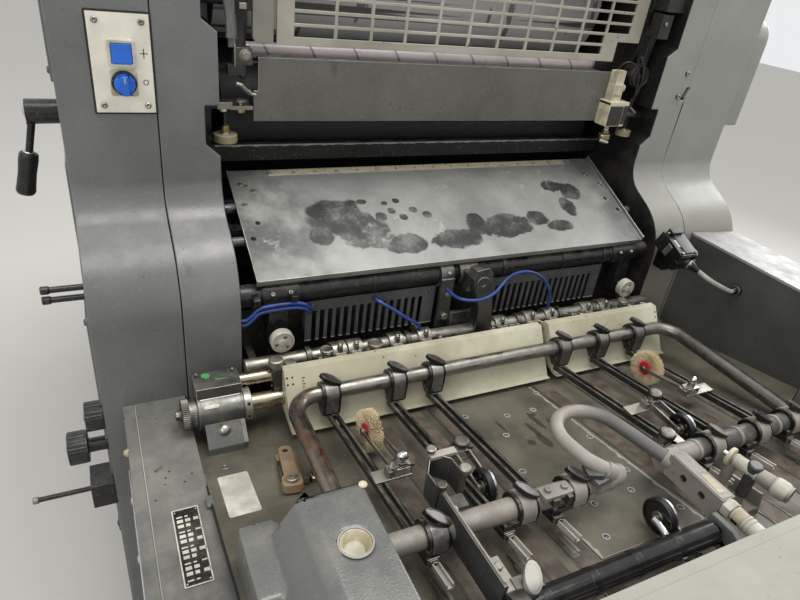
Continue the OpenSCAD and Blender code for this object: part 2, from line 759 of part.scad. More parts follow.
// Cream plate across the front of the feed board
reg_low = [-249, 860];
reg_top = [-201, 938];
module register_plate() {
    lip = 14;
    foot = 7;
    gap = [95, 111];
    end_t = 4;
    n = unit2([-(reg_top[1] - reg_low[1]), reg_top[0] - reg_low[0]]) * register_t;
    spans = [[-register_w / 2, gap[0]], [gap[1], register_w / 2]];
    color("#d8d6c0") for (s = spans) {
        bar_x(s[0], s[1])
            polygon([reg_low - [foot, 0], reg_low - [foot, -2], reg_low + [1, 2], reg_top,
                [reg_top[0] + lip, reg_top[1]], [reg_top[0] + lip, reg_top[1] - register_t],
                [reg_top[0] + register_t, reg_top[1] - register_t], reg_low - n]);
        for (x = [s[0], s[1] - end_t]) difference() {
            bar_x(x, x + end_t)
                polygon([reg_low - n, reg_top - n, [reg_top[0] + lip, reg_top[1] - register_t],
                    [shaft_up[0] + 14, shaft_up[1] + 8], [shaft_up[0] + 14, shaft_up[1] - 16],
                    [shaft_low[0] + 16, 874]]);
            register_rods(2 * pin_clear);
        }
    }
}

shaft_low = [-200, 890];
shaft_up = [-180, 919];
bearing_xs = [-board_half + 7, -board_half + 71];
ring_x = bearing_xs[0] - 20;
module register_rods(extra) {
    rod_x([ring_x + 11, shaft_low[0], shaft_low[1]], shaft_d + extra, half_w - 15 - ring_x - 11);
    rod_x([ring_x + 23, shaft_up[0], shaft_up[1]], shaft_small_d + extra, half_w - 27 - ring_x - 23);
}

module register_shafts() {
    color("#b0a898") {
        register_rods(0);
        rod_x([bearing_xs[1] + 0.5, shaft_low[0], shaft_low[1]], 50, 11);
    }
}

module shaft_bearing() {
    color("#7b7d7c") difference() {
        union() {
            rod_x([bearing_xs[0], shaft_low[0], shaft_low[1]], 52, bearing_xs[1] - bearing_xs[0]);
            block([bearing_xs[0], shaft_low[0] - 5, shaft_low[1]], [bearing_xs[1], shaft_up[0] + 14, shaft_up[1] + 14]);
            bar_x(bearing_xs[0] + 8, bearing_xs[1] - 1) polygon([[-250, board_top(-250)], [-250, board_top(-250) + 12], [-215, 895], [-180, 895], [-180, board_top(-180)]]);
        }
        register_rods(2 * pin_clear);
    }
}

module graduated_ring() {
    color("#b5b3ac") difference() {
        rod_x([ring_x, shaft_low[0], shaft_low[1]], 44, 19.5);
        rod_x([ring_x + 10, shaft_low[0], shaft_low[1]], shaft_d + 2 * pin_clear, 20);
    }
}

// Closed cabinet under the feed board
under_board = 0.3;
module table_cabinet() {
    color("#5a5b5a") bar_x(-board_half, board_half)
        polygon([[-flare_out, base_h], [-flare_out, board_top(-flare_out) - board_t - under_board],
            [board_back, board_top(board_back) - board_t - under_board], [board_back, base_h]]);
}

// Board with the riveted plate along its middle: start, left edge, length and right edge of the plate
centre_plate = [-258, -120, 365, 50];
module feed_board() {
    front = -flare_out - 20;
    color("#4c4b42") {
        bar_x(-board_half, board_half)
            polygon([[front, board_top(front) - board_t], [front, board_top(front)],
                [board_back, board_top(board_back)], [board_back, board_top(board_back) - board_t]]);
        on_board(0, centre_plate[0]) block([centre_plate[1], -centre_plate[2], -1], [centre_plate[3], 0, skin_t]);
    }
}

tape_xs = [-277, -243, -180, -138, 72, 143, 175, 232, 262, 319];
tape_lift = 0.1;
module conveyor_tapes() {
    color("#6b5f57") for (x = tape_xs) on_board(x, -258)
        block([-tape_w / 2, -420, tape_lift], [tape_w / 2, 0, skin_t]);
}

// Cover box on the left of the board and the wall on its right
cover_z = 862;
wall_fall = 9;
module table_covers() {
    color("#6f7172") bar_x(-board_half - side_box_w, -board_half)
        polygon([[-flare_out, base_h], [-flare_out, cover_z], [board_back, cover_z], [board_back, base_h]]);
    color("#7b7c7a") {
        bar_y(table_back, -flare_out) polygon([[board_half, base_h], [board_half, wall_z],
            [right_out - 10, wall_z - wall_fall], [right_out - 10, base_h]]);
        rod_x([board_half - grommet_t, cable_end[1], cable_end[2]], 20, grommet_t + 1);
    }
}

// Plug by the right column, tilted like the infeed plate, and its cable to the grommet in the wall
grommet_t = 7;
plug_size = [44, 68, 34];
plug_at = [board_half - 110, -126, 1040];
cable_d = 9;
cable_start = [board_half - 76, -207, 1021];
cable_end = [board_half - grommet_t, -262, 990];
cable_points = [cable_start, [board_half - 68, -219, 1015], [board_half - 57, -233, 1007],
    [board_half - 44, -246, 1000], [board_half - 30, -256, 994], [board_half - 18, -262, 990], cable_end];
module interlock_plug() {
    foot = 123.3;
    color("#232425") {
        translate(plug_at) rotate([infeed_angle, 0, 0]) {
            block([0, -plug_size[1], 0], plug_size - [0, plug_size[1], 0]);
            block([12, -plug_size[1] + 6, plug_size[2] - eps], [plug_size[0] - 2, -8, plug_size[2] + 4]);
        }
        block([plug_at[0] + 24, -150, 985], [plug_at[0] + 42, -foot, 1042]);
        aim(cable_start, cable_start * 2 - cable_points[1]) cylinder(d = 15, h = 22);
    }
}

module interlock_cable() {
    color("#b4b4b0") sweep(cable_points, cable_d, 8);
}

// Bent hold-down tube over the register plate
tube_y = -239;
tube_z = 915;
bar_y = -540;
bar_z = 950;
module hold_down_tube() {
    arm = tube_y - bar_y - tube_bend - 30;
    color("#9c9a94") {
        rod_x([-tube_reach + tube_bend, tube_y, tube_z], tube_d, 2 * (tube_reach - tube_bend));
        for (s = [-1, 1]) {
            translate([s * (tube_reach - tube_bend), tube_y - tube_bend, tube_z])
                rotate([0, 0, s > 0 ? 0 : 90]) rotate_extrude(angle = 90) translate([tube_bend, 0]) circle(d = tube_d);
            rod_y([s * tube_reach, tube_y - tube_bend - arm, tube_z], tube_d, arm);
        }
    }
}

bar_in = 400;
bar_ends = [-56, 34];
module cross_bar() {
    color("#a8a59f") {
        rod_x([-bar_in, bar_y, bar_z], bar_d, bar_in + bar_ends[0]);
        rod_x([bar_ends[1], bar_y, bar_z], bar_d, bar_in - bar_ends[1]);
        rod_x([bar_ends[0] - 22, bar_y, bar_z], bar_d + 4, 24);
        aim(pipe_path[0], pipe_path[0] * 2 - pipe_path[1]) cylinder(d = pipe_d + 4, h = 14);
    }
}

rail_xs = [-315, -216, -146, 113, 198, 287];
function rail_top(y) = board_top(y) + (rail_lift + rail_h) / cos(board_angle);
module slotted_rails() {
    front = -250;
    tongue = 36;
    color("#3a3a38") for (x = rail_xs) on_board(x, front) {
        difference() {
            block([-rail_w / 2, -rail_len, rail_lift], [rail_w / 2, 0, rail_lift + rail_h]);
            block([-rail_slot / 2, -rail_len + 12, rail_lift - 1], [rail_slot / 2, -12, rail_lift + rail_h + 1]);
        }
        difference() {
            block([-5, -rail_len - tongue, rail_lift + 1], [5, -rail_len + eps, rail_lift + 8]);
            block([-2.5, -rail_len - tongue - 1, rail_lift + 3], [2.5, -rail_len - 4, rail_lift + 9]);
        }
    }
}

tube_clamps = [-319, -210, -143, 115, 202, 290];
bar_clamps = [-307, -190, -115, 131, 225, 300];
seat_gap = 0.05;

// Clamp on a tube at x with its foot on the rail at rail_x
module clamp_block(x, rail_x, y, z, d) {
    arch = d / 2 + 5;
    low = seat_gap / cos(board_angle);
    foot_y = [y - arch, y - 1];
    difference() {
        union() {
            bar_x(x - clamp_w / 2, x + clamp_w / 2) intersection() {
                union() {
                    translate([y, z]) circle(arch);
                    polygon([[y - arch, z], [y + arch, z], [foot_y[1], rail_top(foot_y[1])],
                        [foot_y[0], rail_top(foot_y[0])]]);
                }
                polygon([[y - 30, z + 30], [y + 30, z + 30], [y + 30, rail_top(y + 30) + low],
                    [y - 30, rail_top(y - 30) + low]]);
            }
            bar_x(min(x, rail_x - rail_w / 2), max(x, rail_x + rail_w / 2))
                polygon([[foot_y[1], rail_top(foot_y[1]) + 9], [foot_y[1], rail_top(foot_y[1]) + low],
                    [foot_y[0], rail_top(foot_y[0]) + low], [foot_y[0], rail_top(foot_y[0]) + 9]]);
            translate([x, y, z + arch - 2]) cylinder(d = 9, h = 7);
        }
        rod_x([x - 50, y, z], d + 2 * seat_gap, 100);
        for (dz = [0, 9]) rod_y([x, y - arch - 1, z - 5 - dz], 8, 4);
    }
}

module clamp_blocks() {
    color("#2c2d2e") {
        for (i = [0 : len(rail_xs) - 1]) {
            clamp_block(tube_clamps[i], rail_xs[i], tube_y, tube_z, tube_d);
            translate([tube_clamps[i], tube_y, tube_z + tube_d / 2 + 8]) rotate([22, 0, 65]) thumb_lever(34, 14, 5);
        }
        for (i = [0 : len(rail_xs) - 1]) {
            clamp_block(bar_clamps[i], rail_xs[i], bar_y, bar_z, bar_d);
            translate([bar_clamps[i], bar_y, bar_z + bar_d / 2 + 9]) rotate([25, 0, 60]) thumb_lever(34, 14, 6);
        }
    }
}

// Wheels: place of each, the rail that its holder is clamped to and how far off its clamp is
wheels = [[-286, -320], [247, -324], [-196, -479], [154, -481], [-31, board_back + 82]];
holder_rail = [0, 5, 1, 3];
holder_reach = [-98, -88, 64, 62];
brush_w = 14;
wheel_w = 12;
function wheel_z(i) = board_top(wheels[i][1]) + (skin_t + wheel_lift + (i < 2 ? brush_d : wheel_d) / 2) / cos(board_angle);

module wheel(i, d, w) {
    difference() {
        rod_x([wheels[i][0] - w / 2, wheels[i][1], wheel_z(i)], d, w);
        rod_x([wheels[i][0] - w, wheels[i][1], wheel_z(i)], pin_d + 2 * pin_clear, 2 * w);
    }
}

module wheel_holders() {
    end = wheels[4];
    end_x = end[0] + wheel_w / 2 + 2;
    color("#8f8d86") {
        bar_x(end_x, end_x + 4) polygon([[end[1] + 5, wheel_z(4) + 5], [end[1] - 5, wheel_z(4) - 8],
            [end[1] - 30, tie_top + 0.3], [tie_bar[0], tie_top + 0.3], [tie_bar[0], tie_top + 8],
            [end[1] - 34, tie_top + 8], [end[1] - 8, wheel_z(4) + 6]]);
        rod_x([end[0] - wheel_w / 2 - 4, end[1], wheel_z(4)], pin_d, wheel_w + 8);
        rod_x([end_x, end[1], wheel_z(4)], 16, 4);
    }
    color("#8f8d86") for (i = [0 : 3]) {
        w = (i < 2 ? brush_w : wheel_w) / 2 + 3;
        x = wheels[i][0];
        y = wheels[i][1];
        z = wheel_z(i);
        seat_y = y + holder_reach[i];
        seat_z = max(rail_top(seat_y - 10), rail_top(seat_y + 10)) + 3.3;
        far = [seat_y, seat_z + 6];
        half = i < 2 ? 3 : 5;
        side = unit2([far[1] - z, y - far[0]]) * half;
        rail = rail_xs[holder_rail[i]];
        rod_x([x - w - 3, y, z], pin_d, 2 * w + 6);
        for (s = [-1, 1]) {
            rod_x([x + s * (w + 1) - 1.5, y, z], 12, 3);
            bar_x(x + s * (w + 1) - 1.5, x + s * (w + 1) + 1.5)
                polygon([[y, z] + side, far + side, far - side, [y, z] - side]);
        }
        block([x - w - 3, seat_y - 8, seat_z], [x + w + 3, seat_y + 8, seat_z + 12]);
        block([min(x - w - 3, rail - 9), seat_y - 10, seat_z - 3], [max(x + w + 3, rail + 9), seat_y + 10, seat_z]);
        rod_z([x, seat_y, seat_z + 12 - eps], i == 1 ? 12 : 16, 8);
    }
    color("#8f8d86") {
        spare = [80, -502];
        spare_z = rail_top(spare[1] - 10) + 0.3;
        block([spare[0], spare[1] - 10, spare_z], [rail_xs[3] + 9, spare[1] + 10, spare_z + 4]);
        rod_z([spare[0] + 10, spare[1], spare_z + 4 - eps], 20, 12);
    }
}

module brush_wheel_left() {
    color("#e6d9b0") wheel(0, brush_d, brush_w);
}

module brush_wheel_right() {
    color("#e6d9b0") wheel(1, brush_d, brush_w);
}

module rubber_wheel_a() {
    color("#1d1e1f") wheel(2, wheel_d, wheel_w);
}

module rubber_wheel_b() {
    color("#1d1e1f") wheel(3, wheel_d, wheel_w);
}

module rubber_wheel_c() {
    color("#1d1e1f") wheel(4, wheel_d, wheel_w);
}

// Castings that carry the tube, the cross bar and the roller, the left one with the round pocket in its top
cast_top = 1000;
cast_front = -485;
cast_back = board_back;
cast_in = tube_reach - 5;
cast_shoulder = board_half - 65;
cast_foot = board_half - 10;
pocket = [-408, -557, 33, 15];
module casting_body(side, front) {
    intersection() {
        bar_x(side > 0 ? cast_in : -cast_foot, side > 0 ? cast_foot : -cast_in)
            polygon([[front, board_top(front)], [front, cast_top - 4], [front - 4, cast_top],
                [cast_back + 40, cast_top], [cast_back, cast_top - 15], [cast_back, board_top(cast_back)]]);
        bar_y(cast_back - 1, front + 1)
            polygon([for (p = concat([[cast_in, cast_top + 1], [cast_in, 800], [cast_foot, 800], [cast_foot, 905]],
                fillet([cast_foot, 905], [cast_shoulder, cast_top + 0.01], [cast_in, cast_top + 0.01], 18)))
                [side * p[0], p[1]]]);
    }
}

module feeder_castings() {
    color("#77797a") difference() {
        union() {
            casting_body(-1, cast_front);
            casting_body(1, cast_front - 16);
            rod_x([-cast_in - 5, roller_y, roller_z], 40, roller_left - 3 + cast_in + 5);
            intersection() {
                bar_y(-556, -462) translate([-cast_foot, 0])
                    polygon([[-6, 800], [-1, 950], [35, 950], [43, 945], [43, 800]]);
                bar_x(-cast_foot - 10, -cast_foot + 50) polygon([[-556, board_top(-556)], [-556, 960], [-462, 960], [-462, board_top(-462)]]);
            }
        }
        rod_z([pocket[0], pocket[1], cast_top - pocket[3]], pocket[2], 30);
        for (s = [-1, 1]) {
            rod_x([s > 0 ? cast_in - 10 : -bar_in - eps, bar_y, bar_z], bar_d + 2 * seat_gap, bar_in - cast_in + 10 + eps);
            rod_y([s * tube_reach, -600, tube_z], tube_d + 2 * seat_gap, 200);
        }
        rod_x([-cast_in - 3, roller_y, roller_z], journal_small + 2 * pin_clear, 60);
    }
}

roller_y = board_back + 35;
roller_z = 960;
roller_left = -330;
roller_right = -6;
journal_small = 12;
module forwarding_roller() {
    color("#1f2021") {
        rod_x([roller_left, roller_y, roller_z], roller_d, roller_right - roller_left);
        rod_x([-cast_in - 2, roller_y, roller_z], journal_small, cast_in + 2 + 9);
    }
}

// Upright guide plate hung on the cross bar by its collar, with the bent bracket at its front end
guide_x = -286;
guide_t = 5;
module sheet_guide() {
    bend = [[-284, -508], [-286, -480], [-268, -452], [-248, -468], [-246, -495]];
    color("#3f4041") difference() {
        union() {
            bar_x(guide_x, guide_x + guide_t)
                polygon([[-505, 946], [-512, 978], [-640, 982], [-640, 938], [-540, 932]]);
            rod_x([guide_x, bar_y, bar_z], 40, guide_t + 6);
            translate([0, 0, 938]) linear_extrude(38) polygon(strip(bend, 2));
            rod_z([bend[0][0], bend[0][1], 936], 7, 42);
            rod_z([bend[4][0], bend[4][1], 936], 7, 42);
            block([guide_x + guide_t - eps, -530, 962], [-258, -512, 966]);
        }
        rod_x([guide_x - 10, bar_y, bar_z], bar_d + 2 * seat_gap, 40);
    }
}

// Air valve on the right half of the cross bar, and the second fitting on its post
valve_low = [17, -640, 955];
valve_high = [39, -561, 987];
module valve_block() {
    post = [107, -615];
    pad = [40, 40, 10];
    color("#a9a9a3") {
        block(valve_low, valve_high);
        block([valve_high[0] - eps, -590, bar_z + bar_d / 2 + 0.3], [valve_high[0] + 16, bar_y, 970]);
        rod_y([28, -652, 977], 20, 13);
        rod_y([28, -668, 977], 15, 17);
        rod_y([28, -692, 977], 19, 25);
        aim(pipe_path[pipe_last], pipe_path[pipe_last] * 2 - pipe_path[pipe_last - 1]) cylinder(d = pipe_d + 4, h = 10);
        on_board(post[0], post[1]) block([-pad[0] / 2, -pad[1] / 2, 0], [pad[0] / 2, pad[1] / 2, pad[2]]);
        rod_z([post[0], post[1], board_top(post[1]) + 5], 12, 65);
        translate([102, -588, 980]) rotate([90, 0, 12]) {
            cylinder(d = 16, h = 74);
            translate([0, 0, 52]) cylinder(d = 22, h = 22);
        }
        rod_z([102.5, -590, 948], 14, 32);
    }
}

// Bent pipe from the end of the bar's left half to the valve
pipe_points = [[-74, -545, 976], [-82, -541, 980], [-93, -530, 984], [-99, -512, 986], [-101, -492, 986],
    [-95, -472, 986], [-80, -457, 985], [-57, -452, 985], [-33, -458, 984], [-15, -475, 983], [-2, -500, 980],
    [10, -526, 976], [22, -552, 972]];
pipe_path = through(pipe_points, 3);
pipe_last = len(pipe_path) - 1;
module air_pipe() {
    color("#7d7f80") sweep(pipe_path, pipe_d, 16);
}

// Feeder behind the feed table: side plates, plinth and cross ties
feeder_y0 = table_back - feeder_len;
tie_bar = [table_back - 25, table_back - 5];
tie_top = board_top(table_back) - 0.8;
module feeder_frame() {
    plate_w = 60;
    color("#6f7172") {
        rod_x([-half_w, table_back - 170, 930], 30, inner_w);
        for (s = [-1, 1]) block([s > 0 ? half_w : -half_w - plate_w, feeder_y0, 0],
            [s > 0 ? half_w + plate_w : -half_w, table_back, feeder_h]);
        block([-half_w - eps, feeder_y0, 0], [half_w + eps, table_back, base_h]);
        block([-half_w - eps, feeder_y0, feeder_h - 120], [half_w + eps, feeder_y0 + 40, feeder_h]);
        block([-half_w - eps, tie_bar[0], tie_top - 31], [half_w + eps, tie_bar[1], tie_top]);
        difference() {
            bar_x(roller_right + 8, roller_right + 16)
                polygon([[tie_bar[0], tie_top - eps], [tie_bar[0], 946], [roller_y - 16, roller_z + 16],
                    [roller_y + 14, roller_z + 16], [roller_y + 14, roller_z - 16], [tie_bar[1], tie_top - eps]]);
            rod_x([roller_right, roller_y, roller_z], journal_small + 2 * pin_clear, 30);
        }
    }
}

module suction_head() {
    color("#55575a") {
        rod_x([-half_w, table_back - 270, 930], 30, inner_w);
        block([-150, table_back - 320, 900], [150, table_back - 210, 1010]);
    }
}

module feeder_cover() {
    color("#a9aa9e") {
        block([-300, table_back - 190, 1035], [300, table_back - 2, 1050]);
        for (x = [-230, 200]) block([x, table_back - 180, 945.3], [x + 30, table_back - 160, 1035]);
    }
}

// Delivery behind the printing unit
delivery_y1 = unit_depth + delivery_len;
module delivery_frame() {
    color("#6f7172") {
        for (s = [-1, 1]) block([s > 0 ? half_w : left_seam, unit_depth, 0],
            [s > 0 ? right_seam : -half_w, delivery_y1, delivery_h]);
        block([-half_w - eps, unit_depth, 0], [half_w + eps, delivery_y1, base_h]);
        bar_x(left_seam, right_seam) polygon([[unit_depth, delivery_h - eps], [unit_depth, 1180],
            [unit_depth + 120, 1180], [delivery_y1, 1060], [delivery_y1, delivery_h - eps]]);
    }
}

// Pile tables of the feeder and the delivery on their rails
delivery_pile_z = 300;
module pile_table(y0, y1, z, rails) {
    color("#8b7a5c") block([-half_w + 55, y0, z], [half_w - 55, y1, z + 30]);
    color("#55575a") for (y = rails) block([-half_w, y, z - 40], [half_w, y + 40, z + eps]);
}

module pile_tables() {
    pile_table(feeder_y0 + 90, table_back - 40, pile_z, [feeder_y0 + 160, table_back - 150]);
    pile_table(unit_depth + 60, delivery_y1 - 60, delivery_pile_z, [unit_depth + 140, delivery_y1 - 180]);
}

// Crank on the left outer cover
crank = [100, 1236];
module crank_handle() {
    color("#1f2021") {
        rod_x([left_out - 45, crank[0], crank[1]], 34, 45 - 0.3);
        aim([left_out - 36, crank[0], crank[1]], [left_out - 60, crank[0], crank[1] - 105]) cylinder(d = 10, h = 70);
        aim([left_out - 50, crank[0], crank[1] - 60], [left_out - 66, crank[0], crank[1] - 130]) cylinder(d = 24, h = 62);
    }
}

module side_knobs() {
    y = -100;
    color("#1c1d1e") {
        for (z = [1014, 1030]) rod_x([left_out - 56, y + 50, z], 9, 56);
        rod_x([left_out - 26, y, 836], 44, 26);
        rod_x([left_out - 30, y, 780], 22, 30);
        rod_x([left_out - 56, y, 780], 50, 28);
        block([left_out - 35, y - 22, 665], [left_out, y + 28, 712]);
        rod_x([left_out - 118, y, 689], 8, 84);
    }
}

base_frame();
side_frame_left();
side_frame_right();
outer_covers();
control_panel();
start_button();
selector_knob();
ink_unit_housing();
top_cover();
plate_cylinder();
blanket_cylinder();
impression_cylinder();
ink_rollers();
guard_grille();
blanket_guard();
guard_switch();
switch_lead();
guard_brackets();
infeed_plate();
cross_shaft();
comb_guards();
cross_member();
centre_bracket();
front_lays();
control_hoses();
dial_knob_left();
dial_knob_right();
register_plate();
register_shafts();
shaft_bearing();
graduated_ring();
table_cabinet();
feed_board();
conveyor_tapes();
table_covers();
interlock_plug();
interlock_cable();
hold_down_tube();
cross_bar();
slotted_rails();
clamp_blocks();
wheel_holders();
brush_wheel_left();
brush_wheel_right();
rubber_wheel_a();
rubber_wheel_b();
rubber_wheel_c();
feeder_castings();
forwarding_roller();
sheet_guide();
valve_block();
air_pipe();
feeder_frame();
suction_head();
feeder_cover();
delivery_frame();
pile_tables();
crank_handle();
side_knobs();
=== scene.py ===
"""Looks of a sheet-fed offset printing press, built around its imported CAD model.

Sizes in the builders below are in millimetres, in the frame of the CAD model: X across the press,
Y along the sheet travel, Z up from the floor. They are scaled to metres where the meshes are made.
"""
from math import atan2, cos, pi, radians, sin, tan, tau

import bmesh
import bpy
from mathutils import Matrix, Vector


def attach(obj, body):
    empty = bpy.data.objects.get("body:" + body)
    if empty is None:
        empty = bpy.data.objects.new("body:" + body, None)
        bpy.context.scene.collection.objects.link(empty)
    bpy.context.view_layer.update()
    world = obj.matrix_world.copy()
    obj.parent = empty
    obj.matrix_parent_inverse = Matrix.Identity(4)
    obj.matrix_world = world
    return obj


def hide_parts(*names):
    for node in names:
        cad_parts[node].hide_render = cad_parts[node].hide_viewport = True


MM = 0.001
# Directions that turned forms and screws face
TO_TOP = (0, 0, 1)
TO_FLOOR = (0, 0, -1)
TO_FRONT = (0, -1, 0)
TO_RIGHT = (1, 0, 0)
TO_LEFT = (-1, 0, 0)
# Angles past which an edge of a CAD node or of a drawn piece stays sharp
NODE_EDGE = radians(32)
PIECE_EDGE = radians(35)
# Points of a CAD mesh nearer than this are one, in metres
JOINED_WITHIN = 0.00001
# Half the thickness of raised numbers, in millimetres
NUMBER_DEPTH = 0.15
# Joint between side frame and outer cover, in metres from the middle
SEAM_X = 0.504
# Middle of the operator panel, heights of its button and its selector
PANEL_X = -542
PANEL_Z = 1323
BUTTON_Z = 1337
SELECTOR_Z = 1300
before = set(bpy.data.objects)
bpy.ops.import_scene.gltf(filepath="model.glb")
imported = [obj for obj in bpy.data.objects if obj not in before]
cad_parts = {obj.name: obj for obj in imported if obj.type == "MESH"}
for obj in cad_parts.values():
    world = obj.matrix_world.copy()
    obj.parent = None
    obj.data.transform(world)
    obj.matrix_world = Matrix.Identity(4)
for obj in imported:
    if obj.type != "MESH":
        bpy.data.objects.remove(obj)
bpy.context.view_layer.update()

# Camera: solved from the parallel edges of the press in an 800 x 600 frame
FOCAL_PX = 613.26
FRAME_PX = 800
SENSOR_MM = 36.0
NEAR_M = 0.05
FAR_M = 60
EYE = (-0.58706, -0.90517, 1.5)
RIGHT = (0.90035623, -0.41976912, 0.11468454)
DOWN = (-0.12344173, -0.49910101, -0.85770643)
FORWARD = (0.41727784, 0.75808447, -0.50118573)


def make_camera():
    data = bpy.data.cameras.new("camera")
    data.sensor_width = SENSOR_MM
    data.lens = FOCAL_PX / FRAME_PX * data.sensor_width
    data.clip_start = NEAR_M
    data.clip_end = FAR_M
    camera = bpy.data.objects.new("camera", data)
    bpy.context.scene.collection.objects.link(camera)
    rows = [(RIGHT[i], -DOWN[i], -FORWARD[i], EYE[i]) for i in range(3)]
    camera.matrix_world = Matrix(rows + [(0, 0, 0, 1)])
    bpy.context.scene.camera = camera


make_camera()


# Shader and geometry values that can be used like numbers
class Value:
    def __init__(self, tree, socket):
        self.tree = tree
        self.socket = socket

    def math(self, kind, *others):
        node = self.tree.add("ShaderNodeMath", [self, *others], operation=kind)
        return Value(self.tree, node.outputs[0])

    def __add__(self, other):
        return self.math("ADD", other)

    def __sub__(self, other):
        return self.math("SUBTRACT", other)

    def __rsub__(self, other):
        return self * -1.0 + other

    def __mul__(self, other):
        return self.math("MULTIPLY", other)

    def __truediv__(self, other):
        return self.math("DIVIDE", other)

    def __gt__(self, other):
        return self.math("GREATER_THAN", other)

    def __lt__(self, other):
        return self.math("LESS_THAN", other)

    __radd__ = __add__
    __rmul__ = __mul__

    def abs(self):
        return self.math("ABSOLUTE")

    def both(self, other):
        return self.math("MINIMUM", other)

    def either(self, other):
        return self.math("MAXIMUM", other)

    def step(self, low, high, to_low=0.0, to_high=1.0):
        """Smooth step from to_low below low to to_high above high"""
        node = self.tree.add("ShaderNodeMapRange", [self, low, high, to_low, to_high],
                             interpolation_type="SMOOTHSTEP", clamp=True)
        return Value(self.tree, node.outputs[0])

    def inside(self, low, high, soft=0.002):
        """1 between low and high, fading over soft"""
        return self.step(low - soft, low).both(self.step(high, high + soft, 1.0, 0.0))


def linear(hexa):
    """Linear colour of an sRGB hex string"""
    def channel(c):
        return c / 12.92 if c <= 0.04045 else ((c + 0.055) / 1.055) ** 2.4
    return tuple(channel(int(hexa[i:i + 2], 16) / 255) for i in (0, 2, 4)) + (1.0,)


class Nodes:
    """Node tree whose nodes are added with their inputs in one call"""

    def add(self, kind, inputs=(), **settings):
        node = self.nodes.new(kind)
        for key, value in settings.items():
            setattr(node, key, value)
        for key, value in (inputs.items() if isinstance(inputs, dict) else enumerate(inputs)):
            if isinstance(value, Value):
                self.links.new(value.socket, node.inputs[key])
            elif value is not None:
                node.inputs[key].default_value = value
        return node

    def out(self, kind, inputs=(), output=0, **settings):
        return Value(self, self.add(kind, inputs, **settings).outputs[output])


class Tree(Nodes):
    """Node tree of one material with a Principled shader"""

    def __init__(self, name):
        self.material = bpy.data.materials.new(name)
        self.material.use_nodes = True
        self.nodes = self.material.node_tree.nodes
        self.links = self.material.node_tree.links
        self.shader = self.nodes["Principled BSDF"]
        coords = self.add("ShaderNodeTexCoord")
        self.place = Value(self, coords.outputs["Object"])
        self.x, self.y, self.z = self.parts(self.place)
        self.nx, self.ny, self.nz = self.parts(Value(self, coords.outputs["Normal"]))

    def parts(self, vector):
        node = self.add("ShaderNodeSeparateXYZ", [vector])
        return [Value(self, node.outputs[i]) for i in range(3)]

    def noise(self, scale, detail=3.0, rough=0.55, stretch=(1, 1, 1), shift=(0, 0, 0)):
        """Noise from 0 to 1 at a scale per metre"""
        spot = self.out("ShaderNodeMapping", {"Vector": self.place, "Scale": stretch, "Location": shift})
        return self.out("ShaderNodeTexNoise", {"Vector": spot, "Scale": scale, "Detail": detail,
                                               "Roughness": rough})

    def cells(self, scale):
        """Distance to the nearest of scattered points"""
        return self.out("ShaderNodeTexVoronoi", {"Vector": self.place, "Scale": scale})

    def mix(self, amount, low, high):
        """Colour between low and high"""
        pair = [linear(c) if isinstance(c, str) else c for c in (low, high)]
        return self.out("ShaderNodeMix", {0: amount, 6: pair[0], 7: pair[1]}, 2, data_type="RGBA")

    def set(self, key, value):
        """Shader input from a value, a number or a hex colour"""
        if isinstance(value, Value):
            self.links.new(value.socket, self.shader.inputs[key])
        else:
            self.shader.inputs[key].default_value = linear(value) if isinstance(value, str) else value

    def bump(self, height, distance):
        self.set("Normal", self.out("ShaderNodeBump", {"Strength": 1.0, "Distance": distance,
                                                       "Height": height}))

    def blot(self, x, y, across, along, ragged=0.35, scale=55.0):
        """1 inside an oval spot in plan with a ragged edge, its centre and half sizes in millimetres"""
        u = (self.x - x * MM) / (across * MM)
        v = (self.y - y * MM) / (along * MM)
        edge = (u * u + v * v) + (self.noise(scale, 4.0, 0.6, shift=(x, y, 0)) - 0.5) * ragged * 6.0
        return edge.step(0.75, 1.05, 1.0, 0.0)


